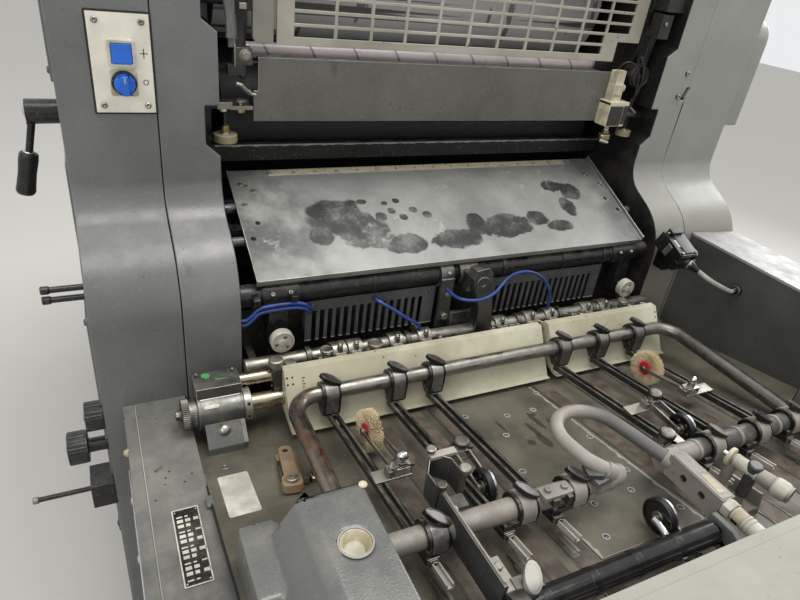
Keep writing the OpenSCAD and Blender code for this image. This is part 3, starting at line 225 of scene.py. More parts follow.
class Geo(Nodes):
    """Geometry Nodes tree with named inputs, run on an object and baked into a plain mesh"""

    def __init__(self, name, **inputs):
        self.group = bpy.data.node_groups.new(name, "GeometryNodeTree")
        self.nodes = self.group.nodes
        self.links = self.group.links
        face = self.group.interface
        face.new_socket("Geometry", in_out="INPUT", socket_type="NodeSocketGeometry")
        for key, kind in inputs.items():
            face.new_socket(key, in_out="INPUT", socket_type="NodeSocket" + kind)
        face.new_socket("Geometry", in_out="OUTPUT", socket_type="NodeSocketGeometry")
        source = self.nodes.new("NodeGroupInput")
        self.given = {s.name: Value(self, s) for s in source.outputs if s.name}
        self.sink = self.nodes.new("NodeGroupOutput")

    def end(self, geometry, finish=None):
        """Close the tree with real copies in one finish"""
        if finish:
            real = self.out("GeometryNodeRealizeInstances", [geometry])
            geometry = self.out("GeometryNodeSetMaterial", {"Geometry": real, "Material": finish})
        self.links.new(geometry.socket, self.sink.inputs[0])
        return self

    def put_on(self, obj, **values):
        modifier = obj.modifiers.new(self.group.name, "NODES")
        modifier.node_group = self.group
        for item in self.group.interface.items_tree:
            if item.in_out == "INPUT" and item.name in values:
                modifier[item.identifier] = values[item.name]
        return modifier

    def bake(self, name, points, facing, sizes, body, slot, **values):
        """Piece made by the tree from points in millimetres with a direction and a size each"""
        mesh = bpy.data.meshes.new(name + "_points")
        mesh.from_pydata([Vector(p) * MM for p in points], [], [])
        mesh.attributes.new("facing", "FLOAT_VECTOR", "POINT").data.foreach_set(
            "vector", [c for f in facing for c in f])
        mesh.attributes.new("size", "FLOAT", "POINT").data.foreach_set("value", list(sizes))
        seed = bpy.data.objects.new(name + "_points", mesh)
        bpy.context.scene.collection.objects.link(seed)
        self.put_on(seed, **values)
        bpy.context.view_layer.update()
        made = bpy.data.meshes.new_from_object(seed.evaluated_get(bpy.context.evaluated_depsgraph_get()))
        bpy.data.objects.remove(seed)
        return enter(name, made, body)


def enter(name, mesh, body):
    """Object of a finished mesh that rides on a body"""
    mesh.name = name
    piece = bpy.data.objects.new(name, mesh)
    bpy.context.scene.collection.objects.link(piece)
    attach(piece, body)
    return piece


MATERIALS = {}


def painted(name, colour, rough=0.42, dark=None, dust="a29d90", dusty=0.25, grain=0.00012,
            spots=0.0, scuffs=0.0, coat=0.0, zones=()):
    """Paint with cloudy tone, fine hammered grain, dust on top faces, dark spots and scuffs"""
    tree = Tree(name)
    tone = tree.mix(tree.noise(5.0, 4.0, 0.6).step(0.3, 0.72), dark or colour, colour)
    tone = tree.mix(tree.noise(160.0, 2.0, 0.7).step(0.55, 0.75) * 0.14, tone, dust)
    if dusty:
        lying = tree.nz.step(0.35, 0.95) * tree.noise(22.0, 4.0, 0.65).step(0.35, 0.75) * dusty
        tone = tree.mix(lying, tone, dust)
    if spots:
        spot = tree.cells(70.0).step(0.08, 0.16, 1.0, 0.0) * tree.noise(9.0).step(0.5, 0.62) * spots
        tone = tree.mix(spot, tone, "2a2826")
    if scuffs:
        line = tree.noise(34.0, 2.0, 0.5, (1.0, 1.0, 0.12), (2.0, 0.3, 0.0)).step(0.66, 0.7)
        tone = tree.mix(line * tree.noise(12.0).step(0.5, 0.65) * scuffs, tone, "3a3937")
    rough_value = tree.noise(30.0, 3.0).step(0.2, 0.8, rough - 0.08, rough + 0.12)
    for zone in zones:
        tone = zone(tree, tone)
    tree.set("Base Color", tone)
    tree.set("Roughness", rough_value)
    if coat:
        tree.set("Coat Weight", coat)
        tree.set("Coat Roughness", 0.22)
    tree.bump(tree.noise(420.0, 2.0, 0.6), grain)
    MATERIALS[name] = tree.material


def metal(name, colour, rough=0.28, dirt="3a3630", dirty=0.5, scratch=0.00005, dust=0.0, zones=()):
    """Bare metal with grease and dust in patches and fine scratches"""
    tree = Tree(name)
    patch = tree.noise(26.0, 5.0, 0.65).step(0.42, 0.72)
    tone = tree.mix(patch * dirty, colour, dirt)
    if dust:
        lying = tree.nz.step(-0.2, 0.9) * tree.noise(60.0, 4.0, 0.7).step(0.3, 0.65) * dust
        tone = tree.mix(lying, tone, "b0aa9c")
    for zone in zones:
        tone = zone(tree, tone)
    tree.set("Base Color", tone)
    tree.set("Metallic", patch.step(0.0, 1.0, 1.0, 1.0 - 0.75 * dirty))
    tree.set("Roughness", tree.noise(44.0, 4.0).step(0.25, 0.75, max(rough - 0.08, 0.03), rough + 0.2))
    tree.bump(tree.noise(500.0, 2.0, 0.6), scratch)
    MATERIALS[name] = tree.material


def plain(name, colour, rough=0.5, shade=None, bump=0.00003, scale=300.0):
    """Plastic, rubber or a small fitting with a slight cloudiness"""
    tree = Tree(name)
    tree.set("Base Color", tree.mix(tree.noise(40.0, 4.0).step(0.35, 0.7), shade or colour, colour))
    tree.set("Roughness", tree.noise(60.0).step(0.3, 0.7, max(rough - 0.06, 0.02), rough + 0.08))
    tree.bump(tree.noise(scale), bump)
    MATERIALS[name] = tree.material


def black_inside(side):
    """Inner faces of a side frame are black with grease; its notch and the slot in the right frame's face are
    darkened as painted shade
    """
    def zone(tree, tone):
        inward = (tree.nx * -side).step(0.4, 0.6)
        # Notch and slot: painted shade in recesses
        notch = (tree.x * side).step(0.4385, 0.4395, 1.0, 0.0) * tree.z.step(1.15, 1.19)
        slot = tree.y.inside(0.005, 0.04) * (tree.x * side).inside(0.44, 0.51) * tree.z.inside(1.28, 1.32)
        grime_and_shade = tree.mix(tree.noise(18.0, 5.0).step(0.4, 0.7), "0d0d0d", "2c2a27")
        return tree.mix(inward.either(notch * (tree.y > 0.001)).either(slot * side), tone, grime_and_shade)
    return zone


def seam(tree, tone):
    """Dark joint between a side frame and its outer cover, on the right only low down"""
    line = (tree.x.abs() - SEAM_X).abs().step(0.0007, 0.0011, 1.0, 0.0)
    left = (tree.x < 0.0).either((tree.z < 1.09) * 0.8)
    return tree.mix(line * left, tone, "1d1d1c")


def right_side_paler(tree, tone):
    """Right outer cover in the paler grey of its side frame"""
    return tree.mix(tree.x > 0.0, tone, tree.mix(tree.noise(5.0, 4.0).step(0.3, 0.7), "868783", "93948f"))


def low_right_darker(tree, tone):
    """Darker, warmer tone on the right side's lower part"""
    return tree.mix((tree.x > 0.0) * tree.z.step(1.02, 1.13, 0.5, 0.0), tone, "7c7768")


def bright_where(mask, colour, amount=1.0):
    """Zone of another colour where the mask is 1"""
    def zone(tree, tone):
        return tree.mix(mask(tree) * amount, tone, colour)
    return zone


def panel_zones(tree, tone):
    """White bezel round the push button, black socket of the selector, painted shade along the panel's rim"""
    raised = (tree.y < -0.0028) * 1.0
    tone = tree.mix(raised * (tree.z > 1.3195), tone, "e3e1da")
    tone = tree.mix(raised * (tree.z < 1.3195), tone, "191919")
    # Grey band round the panel's edge: painted shade
    rim = (tree.x + 0.542).abs().step(0.0362, 0.0366).either((tree.z - 1.323).abs().step(0.0612, 0.0616))
    return tree.mix(rim, tone, "4a4a48")


def rusty_arm(tree, tone):
    """Rust on the left arm, brownish bend, dark right arm"""
    tone = tree.mix(tree.x.step(-0.36, -0.33, 0.5, 0.0), tone, "6b5547")
    near = (tree.x < -0.35) * tree.y.inside(-0.385, -0.32, 0.02)
    tone = tree.mix(near * tree.noise(45.0, 4.0).step(0.35, 0.65) * 0.8, tone, "8a4f30")
    return tree.mix(tree.x.step(0.345, 0.375) * 0.7, tone, "4b4a48")


def grille_bar_shadows(tree, tone):
    """Painted shadows of the grille's bars: dark slanting breaks along the bright roller"""
    turn = ((tree.x + tree.z * 0.5) * 13.3).math("FRACT")
    return tree.mix(turn.inside(0.46, 0.5, 0.02) * 0.6, tone, "3c3538")


def plate_lines(tree, tone):
    """Dark lines along the plate, a few slanting marks"""
    line = tree.noise(70.0, 2.0, 0.5, (0.015, 1.0, 1.0)).step(0.56, 0.6)
    mark = tree.noise(30.0, 2.0, 0.5, (1.0, 0.25, 0.25), (3.0, 1.0, 0.0)).step(0.66, 0.69)
    return tree.mix((line * 0.8).either(mark * 0.7), tone, "2a2b2d")


def dark_bar(tree, tone):
    """Cross bar: dusty on the left, dark to the right of the valve"""
    dark = tree.mix(tree.noise(50.0, 4.0).step(0.4, 0.7), "3a3a3b", "62605c")
    return tree.mix(tree.x.step(0.09, 0.11) * 0.9, tone, dark)


def dusty_pipe(tree, tone):
    """Air pipe: dusty arm on the left, dark arm on the right"""
    return tree.mix(tree.x.step(-0.05, -0.015) * 0.85, tone, tree.mix(tree.noise(60.0), "38393b", "565656"))


painted("column_left", "727373", 0.3, "626363", dusty=0.3, spots=0.5, scuffs=0.4, coat=0.25,
        grain=0.00022, zones=(black_inside(-1), seam))
painted("column_right", "93948f", 0.5, "868783", dusty=0.2, spots=0.3, scuffs=0.3,
        grain=0.0002, zones=(low_right_darker, black_inside(1), seam))
painted("outer_cover", "727373", 0.36, "626363", dusty=0.25, spots=0.4, scuffs=0.3, coat=0.1,
        grain=0.00022, zones=(right_side_paler, low_right_darker, seam))
painted("cover_grey", "6f7070", 0.52, "626363", dusty=0.35, spots=0.6, scuffs=0.5)
painted("side_box", "72726e", 0.36, "555654", dusty=0.35, spots=0.9, scuffs=0.6,
        zones=(bright_where(lambda t: t.x.step(0.50, 0.52) * (t.nx * -1.0).step(0.4, 0.6), "2c2d2f"),))
painted("cabinet_grey", "5d5e5d", 0.42, "4e4f4e", dusty=0.5, spots=0.6)
painted("casting_grey", "676866", 0.24, "555654", dusty=0.25, spots=0.9, scuffs=0.5, grain=0.0005, coat=0.5)
painted("foot_grey", "626360", 0.36, "4c4d4b", dusty=0.25, spots=0.6)
painted("guard_grey", "6b6a66", 0.36, "565551", dusty=0.4, spots=0.6, scuffs=0.5)
painted("comb_grey", "55565a", 0.36, "424346", dusty=0.4, spots=0.5,
        zones=(bright_where(lambda t: (t.z < 0.9112), "b9b6aa", 0.8),))
painted("grille_beige", "b9b7ac", 0.45, "928e82", dusty=0.2, spots=0.9,
        zones=(bright_where(lambda t: (t.x + 0.3325 < 0.0), "77756e", 0.75),))
painted("iron_black", "1b1b1c", 0.3, "111112", dusty=0.3, grain=0.0002)
painted("member_black", "111112", 0.4, "090909", dusty=0.2, grain=0.0002)
painted("iron_worn", "2b2b2b", 0.32, "181818", dusty=0.45, grain=0.0002,
        zones=(bright_where(lambda t: (t.y < -0.5665) * t.y.step(-0.66, -0.64), "b3b0a8"),))
painted("clamp_iron", "18191a", 0.28, "0f0f10", dusty=0.0, grain=0.00025,
        zones=(bright_where(lambda t: t.nz.step(0.55, 0.9) * t.noise(120.0, 4.0).step(0.35, 0.6), "8f8c84",
                            0.55),))
painted("tool_black", "161616", 0.25, "0d0d0d", dusty=0.2, grain=0.0001)
painted("bracket_iron", "2a2a2a", 0.4, "171716", dusty=0.3, grain=0.0003,
        zones=(bright_where(lambda t: (t.z < 1.2185), "a49c80", 0.8),))
painted("cover_green_grey", "9c9c91", 0.5, "8d8d82", dusty=0.3, grain=0.0003, spots=0.2)
painted("cream_enamel", "d6d3bd", 0.34, "a8a28a", dusty=0.3, spots=0.8, scuffs=0.3)
painted("guide_grey", "444547", 0.36, "343536", dusty=0.4)
painted("board_wood", "8b7a5c", 0.6, "7b6a4c", dusty=0.3)
# Pale edge colour: worn paint on rims, rings and plate edges, and a painted highlight along the left cover
# box's edges
painted("pale_edge_wear_and_highlight", "a5a5a0", 0.4, "8f8f8a", dusty=0.0)
painted("green_paint", "5cae62", 0.35, "3d8f47", dusty=0.0)
painted("brass_tan", "a8926f", 0.45, "7d684f", dust="c9b79a", dusty=0.3, spots=0.8, grain=0.0002)
painted("steel_dusty", "9c968f", 0.5, "77726b", dust="bdb7ae", dusty=0.6, grain=0.0003, spots=0.4)
metal("strap_grey", "8d8c8a", 0.3, "2f2e2d", 0.7, 0.0001, dust=0.4)
painted("pipe_steel", "a7a19a", 0.48, "8a857e", dust="bcb6ad", dusty=0.5, grain=0.0003, zones=(dusty_pipe,))
metal("bare_edge", "aaa79f", 0.34, "4a463f", 0.5)
metal("chrome", "c9cbcd", 0.12, "55534f", 0.2, 0.00001)
# Pale roller; its dark slanting breaks are painted shadows of the grille's bars
painted("roller_chrome", "d6cccd", 0.28, "beb4b6", dusty=0.0, coat=0.4, grain=0.00003, zones=(grille_bar_shadows,))
# Plate cylinder: the near-white base is partly the plate's own silver and partly a painted reflection of the
# light on it
painted("plate_bright", "e4e5e6", 0.2, "d0d1d3", dusty=0.0, coat=0.5, grain=0.00003, zones=(plate_lines,))
painted("bar_steel", "9c968f", 0.46, "77726b", dust="bdb7ae", dusty=0.6, grain=0.0003, spots=0.4,
        zones=(dark_bar,))
metal("steel", "9c9990", 0.36, "4a463f", 0.6, dust=0.45)
metal("tube_steel", "96938c", 0.3, "3f3d39", 0.6, dust=0.35, zones=(rusty_arm,))
metal("steel_dark", "5f5d59", 0.36, "262422", 0.7, dust=0.3)
metal("bearing_iron", "6b6c6a", 0.38, "3a3937", 0.6, dust=0.3)
metal("shaft_bright", "a9a08a", 0.24, "6a604c", 0.2, dust=0.15)
metal("brass", "a8915f", 0.38, "5a4a30", 0.5, dust=0.3)
metal("aluminium", "f0ecdf", 0.5, "c0bdb0", 0.3, zones=(panel_zones,))
plain("blanket_rubber", "0e0f11", 0.5)
plain("rubber_black", "19191a", 0.45)
plain("plastic_black", "141414", 0.3)
plain("roller_black", "161617", 0.16, shade="262524")
plain("plastic_blue", "2b6fd8", 0.22, shade="2461c4")
plain("plastic_cream", "d6cfb8", 0.5, shade="a99f84")
plain("plastic_white", "c9c7bb", 0.4, shade="a9a697")
plain("paper_white", "d2d0c6", 0.6, shade="aeab9e")
plain("hose_blue", "2b4790", 0.35, shade="1c3268")
plain("cable_grey", "b3b3af", 0.5, shade="8f8e88")
plain("red_plastic", "cf2333", 0.4, shade="a81c26")
plain("bristle", "e6dab8", 0.8, shade="c9b994", bump=0.0004, scale=900.0)
plain("tape_brown", "6c6256", 0.6, shade="4a4138", bump=0.0001, scale=1500.0)
plain("ink_black", "26262a", 0.6)
# Near-black for holes, sockets, openings and the board's joint: painted shade standing in for their depth
plain("hole_and_gap_shade", "0b0b0b", 0.7)


def board_material():
    """Feed board: dark olive with wear, dust, rubbed paths and smeared strokes"""
    tree = Tree("board_olive")
    cloud = tree.noise(7.0, 5.0, 0.65)
    tone = tree.mix(cloud.step(0.3, 0.7), "4a473e", "6d695b")
    rubbed = tree.noise(14.0, 5.0, 0.7, (1.0, 0.35, 1.0)).step(0.55, 0.75) * 0.35
    tone = tree.mix(rubbed, tone, "8a8474")
    dusty = tree.noise(90.0, 4.0, 0.7).step(0.55, 0.75) * tree.noise(8.0).step(0.45, 0.65) * 0.4
    tone = tree.mix(dusty, tone, "a19b8b")
    for x, y, across, along in ((-8, -352, 5, 26), (-28, -372, 5, 22), (-30, -400, 8, 20), (12, -372, 5, 22),
                                (28, -352, 9, 4), (-2, -335, 6, 5), (-52, -398, 7, 7), (-70, -345, 3, 16)):
        tone = tree.mix(tree.blot(x, y, across, along, 0.12, 90.0) * 0.7, tone, "23221d")
    tree.set("Base Color", tone)
    tree.set("Roughness", cloud.step(0.2, 0.8, 0.3, 0.5))
    tree.bump(tree.noise(260.0), 0.00008)
    MATERIALS["board_olive"] = tree.material


def plate_material():
    """Slanted plate: grey steel with dark oily blotches, clouds of dust and pale specks"""
    tree = Tree("plate_steel")
    tone = tree.mix(tree.noise(6.0, 5.0, 0.6).step(0.3, 0.7), "7c7d7a", "a2a39f")
    edge = tree.x.step(-0.33, -0.2, 1.0, 0.0).either(tree.x.step(0.3, 0.37) * 0.8)
    tone = tree.mix(edge * tree.noise(14.0, 4.0).step(0.3, 0.6) * 0.9, tone, "4f504f")
    tone = tree.mix(tree.y.step(0.02, 0.1) * 0.5, tone, "5f605e")
    wet = None
    for x, y, across, along, ragged in (
            (-232, 4, 58, 38, 0.22), (-190, -30, 52, 40, 0.3), (-268, -34, 22, 20, 0.3),
            (-128, -62, 44, 22, 0.35),
            (-150, -4, 12, 10, 0.12), (-126, 7, 8, 7, 0.12), (-108, -8, 9, 7, 0.12), (-84, 6, 9, 7, 0.12),
            (-176, 30, 10, 6, 0.12), (-134, 24, 7, 5, 0.12), (-110, 28, 7, 6, 0.12), (-60, -6, 10, 8, 0.15),
            (-20, -62, 52, 20, 0.4), (30, -36, 22, 24, 0.35), (96, -44, 62, 26, 0.4),
            (170, -34, 24, 18, 0.35),
            (216, -56, 30, 14, 0.35), (262, -14, 18, 26, 0.35), (288, 24, 26, 22, 0.4),
            (250, 40, 26, 16, 0.4)):
        spot = tree.blot(x, y, across, along, ragged, 34.0 if across > 12 else 90.0)
        wet = spot if wet is None else wet.either(spot)
    worn = tree.noise(26.0, 5.0, 0.65, shift=(2.0, 1.0, 0.0)).step(0.3, 0.6, 0.5, 0.95)
    tone = tree.mix(wet * worn, tone, "373838")
    dusty = tree.noise(38.0, 5.0, 0.7, shift=(0.5, 0.2, 0.0)).step(0.56, 0.68) * tree.noise(7.0).step(0.42,
                                                                                                      0.6)
    tone = tree.mix(dusty * 0.6, tone, "b2b3ae")
    speck = tree.cells(150.0).step(0.05, 0.14, 1.0, 0.0) * tree.noise(8.0).step(0.48, 0.58)
    tone = tree.mix(speck * 0.7, tone, "c3c4bf")
    pale = tree.x.abs().step(0.3235, 0.3245, 1.0, 0.0) * tree.y.step(0.095, 0.0965)
    tone = tree.mix(pale * (tree.y < 0.1085), tone, tree.mix(tree.noise(20.0), "a59f85", "c3bb9e"))
    tree.set("Base Color", tone)
    tree.set("Metallic", 0.25)
    tree.set("Roughness", (wet * worn).step(0.0, 1.0, 0.42, 0.24))
    tree.bump(tree.noise(300.0, 3.0), 0.00006)
    MATERIALS["plate_steel"] = tree.material


board_material()
plate_material()

# Material of each CAD node that stays, the width of its rounded edges and the finish of these
NODE_LOOK = {
    "base_frame": ("iron_black", 2), "side_frame_left": ("column_left", 2.5),
    "side_frame_right": ("column_right", 2.5), "outer_covers": ("outer_cover", 2.5),
    "control_panel": ("aluminium", 0.5), "start_button": ("plastic_blue", 1.2),
    "selector_knob": ("plastic_blue", 1.0), "ink_unit_housing": ("iron_black", 1),
    "top_cover": ("cover_grey", 3), "plate_cylinder": ("plate_bright", 0.8),
    "blanket_cylinder": ("blanket_rubber", 0.8), "impression_cylinder": ("chrome", 0.8),
    "ink_rollers": ("roller_chrome", 0.5), "guard_grille": ("grille_beige", 0.8),
    "blanket_guard": ("guard_grey", 1.0, "bare_edge"), "guard_switch": ("plastic_cream", 1.0),
    "guard_brackets": ("bracket_iron", 0.8), "infeed_plate": ("plate_steel", 0.8, "bare_edge"),
    "cross_shaft": ("iron_black", 0.8), "comb_guards": ("comb_grey", 0.4),
    "cross_member": ("member_black", 1), "centre_bracket": ("bearing_iron", 1.2),
    "front_lays": ("steel", 0.8), "dial_knob_left": ("plastic_white", 1),
    "dial_knob_right": ("plastic_white", 1), "register_plate": ("cream_enamel", 0.8),
    "register_shafts": ("shaft_bright", 0.8), "shaft_bearing": ("bearing_iron", 1.2, "bare_edge"),
    "graduated_ring": ("steel", 1), "table_cabinet": ("cabinet_grey", 2),
    "feed_board": ("board_olive", 0.6, "bare_edge"), "conveyor_tapes": ("tape_brown", 0.3),
    # Pale edges of the table covers: painted highlight along the left box's raised edges
    "table_covers": ("side_box", 2, "pale_edge_wear_and_highlight"), "interlock_plug": ("tool_black", 1.5),
    "hold_down_tube": ("tube_steel", 0), "cross_bar": ("bar_steel", 0.8),
    "slotted_rails": ("iron_worn", 0.7, "bare_edge"), "clamp_blocks": ("clamp_iron", 0.8, "steel_dark"),
    "wheel_holders": ("steel", 0.6), "rubber_wheel_a": ("rubber_black", 1),
    "rubber_wheel_b": ("rubber_black", 1), "rubber_wheel_c": ("rubber_black", 1),
    "feeder_castings": ("casting_grey", 5), "forwarding_roller": ("roller_black", 0.8),
    "sheet_guide": ("guide_grey", 0.6, "bare_edge"), "valve_block": ("steel_dusty", 0.4),
    "air_pipe": ("pipe_steel", 0), "feeder_frame": ("cover_grey", 3),
    "suction_head": ("iron_worn", 2), "feeder_cover": ("cover_green_grey", 3),
    "delivery_frame": ("cover_grey", 3), "pile_tables": ("board_wood", 1.5),
    "crank_handle": ("tool_black", 1.5), "side_knobs": ("tool_black", 1.2),
}


def soften_tree():
    """Joins a CAD node's triangles and shades its round faces smoothly"""
    geo = Geo("soften", Sharp="Float")
    whole = geo.out("GeometryNodeMergeByDistance", {"Geometry": geo.given["Geometry"],
                                                    "Distance": JOINED_WITHIN})
    smooth = geo.out("GeometryNodeSetShadeSmooth", {"Geometry": whole, "Shade Smooth": True}, domain="FACE")
    angle = geo.out("GeometryNodeInputMeshEdgeAngle")
    sharp = geo.out("FunctionNodeCompare", {0: angle, 1: geo.given["Sharp"]}, operation="GREATER_THAN",
                    data_type="FLOAT")
    return geo.end(geo.out("GeometryNodeSetShadeSmooth", {"Geometry": smooth, "Selection": sharp,
                                                          "Shade Smooth": False}, domain="EDGE"))


def round_edges(obj, width, material=0):
    bevel = obj.modifiers.new("round_edges", "BEVEL")
    bevel.width = width * MM
    bevel.segments = 2
    bevel.limit_method = "ANGLE"
    bevel.angle_limit = NODE_EDGE
    bevel.use_clamp_overlap = False
    bevel.miter_outer = "MITER_ARC"
    if material:
        bevel.material = material
    obj.modifiers.new("even_shading", "WEIGHTED_NORMAL").keep_sharp = False


def dress_nodes():
    soften = soften_tree()
    for name, (look, width, *edge) in NODE_LOOK.items():
        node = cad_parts[name]
        node.data.materials.clear()
        node.data.materials.append(MATERIALS[look])
        if edge:
            node.data.materials.append(MATERIALS[edge[0]])
        soften.put_on(node, Sharp=NODE_EDGE)
        if width:
            round_edges(node, width, 1 if edge else 0)
            node.modifiers["round_edges"].use_clamp_overlap = name in ("table_covers", "valve_block")


dress_nodes()


# Cords: routes as in the CAD source, in millimetres
HOSE_PAIR = [(-420, -114, 978), (-412, -114, 978), (-403, -116, 986), (-394, -117, 996), (-382, -117, 999),
             (-364, -117, 1000), (-346, -117, 1000), (-332, -117, 999), (-320, -116, 994), (-311, -111, 984),
             (-306, -103, 978), (-306, -96, 978)]
HOSE_DROP = [(-192, -96, 979), (-192, -104, 979), (-187, -113, 977), (-174, -121, 970), (-157, -127, 959),
             (-141, -131, 948), (-126, -134, 939), (-118, -135, 931), (-118, -135, 924)]
HOSE_RIGHT = [(-60, -112, 985), (-60, -122, 985), (-56, -140, 984), (-46, -152, 984), (-28, -158, 984),
              (-8, -159, 986), (10, -157, 993), (28, -149, 1002), (44, -141, 1009), (64, -135, 1013),
              (88, -132, 1013), (112, -132, 1006), (134, -133, 992), (150, -134, 974), (159, -135, 954),
              (161, -135, 936), (161, -135, 924)]
SWITCH_LEAD = [(344, 38, 1335), (344, 38, 1341), (347, 34, 1348), (354, 29, 1352), (364, 25, 1350),
               (372, 20, 1342), (378, 17, 1328), (381, 16, 1310), (382, 16, 1292), (381, 18, 1276),
               (378, 20, 1264), (376, 20, 1260), (372, 20, 1260)]
CABLE = [(434, -207, 1021), (442, -219, 1015), (453, -233, 1007), (466, -246, 1000), (480, -256, 994),
         (492, -262, 990), (503, -262, 990)]


def smooth_path(points, steps):
    """Points of a curve through the given ones"""
    knots = [Vector(p) for p in points]
    path = []
    for i in range(len(knots) - 1):
        a, b, c, d = knots[max(i - 1, 0)], knots[i], knots[i + 1], knots[min(i + 2, len(knots) - 1)]
        for k in range(steps + (i == len(knots) - 2)):
            s = k / steps
            path.append(b + 0.5 * ((c - a) * s + (2 * a - 5 * b + 4 * c - d) * s * s
                                   + (3 * b - a - 3 * c + d) * s ** 3))
    return path


def make_cord(name, points, diameter, look, node, body):
    path = [p * MM for p in smooth_path(points, 6)]
    data = bpy.data.curves.new(name, "CURVE")
    data.dimensions = "3D"
    data.bevel_depth = diameter * MM / 2
    data.bevel_resolution = 5
    data.use_fill_caps = True
    spline = data.splines.new("POLY")
    spline.points.add(len(path) - 1)
    for point, at in zip(spline.points, path):
        point.co = (*at, 1)
    spline.use_smooth = True
    data.materials.append(MATERIALS[look])
    cord = bpy.data.objects.new(name, data)
    bpy.context.scene.collection.objects.link(cord)
    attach(cord, body)
    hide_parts(node)
    length = sum((b - a).length for a, b in zip(path, path[1:]))


def make_cords():
    upper = HOSE_PAIR
    lower = [(x, y, z - 8) for x, y, z in HOSE_PAIR]
    for name, points in (("hose_left_upper", upper), ("hose_left_lower", lower),
                         ("hose_to_lays", HOSE_DROP), ("hose_right", HOSE_RIGHT)):
        make_cord(name, points, 6, "hose_blue", "control_hoses", "press")
    make_cord("switch_lead_loop", SWITCH_LEAD, 4, "plastic_black", "switch_lead", "blanket_guard")
    make_cord("plug_cable", CABLE, 9, "cable_grey", "interlock_cable", "press")


make_cords()


# Frames of the slanted plate and of the feed board, in millimetres
INFEED_AT = (0, -105, 1037)
INFEED_SLOPE = radians(24.5)
INFEED = Matrix.Translation(INFEED_AT) @ Matrix.Rotation(INFEED_SLOPE, 4, "X")
BOARD_ANGLE = radians(10.17)
BOARD_EDGE_Y = -250
BOARD_EDGE_Z = 850
BOARD_UP = (0, sin(BOARD_ANGLE), cos(BOARD_ANGLE))
INFEED_UP = tuple(INFEED.to_3x3() @ Vector(TO_TOP))


def board_top(y):
    return BOARD_EDGE_Z + (BOARD_EDGE_Y - y) * tan(BOARD_ANGLE)


def on_board(x, y):
    return Matrix.Translation((x, y, board_top(y))) @ Matrix.Rotation(-BOARD_ANGLE, 4, "X")


def rounded(low, high, radius, steps=4):
    """Outline of a rectangle with rounded corners"""
    points = []
    for i, (cx, cy) in enumerate(((high[0], high[1]), (low[0], high[1]), (low[0], low[1]),
                                  (high[0], low[1]))):
        cx += radius * (-1 if i in (0, 3) else 1)
        cy += radius * (-1 if i in (0, 1) else 1)
        for k in range(steps + 1):
            a = pi / 2 * (i + k / steps)
            points.append((cx + radius * cos(a), cy + radius * sin(a)))
    return points


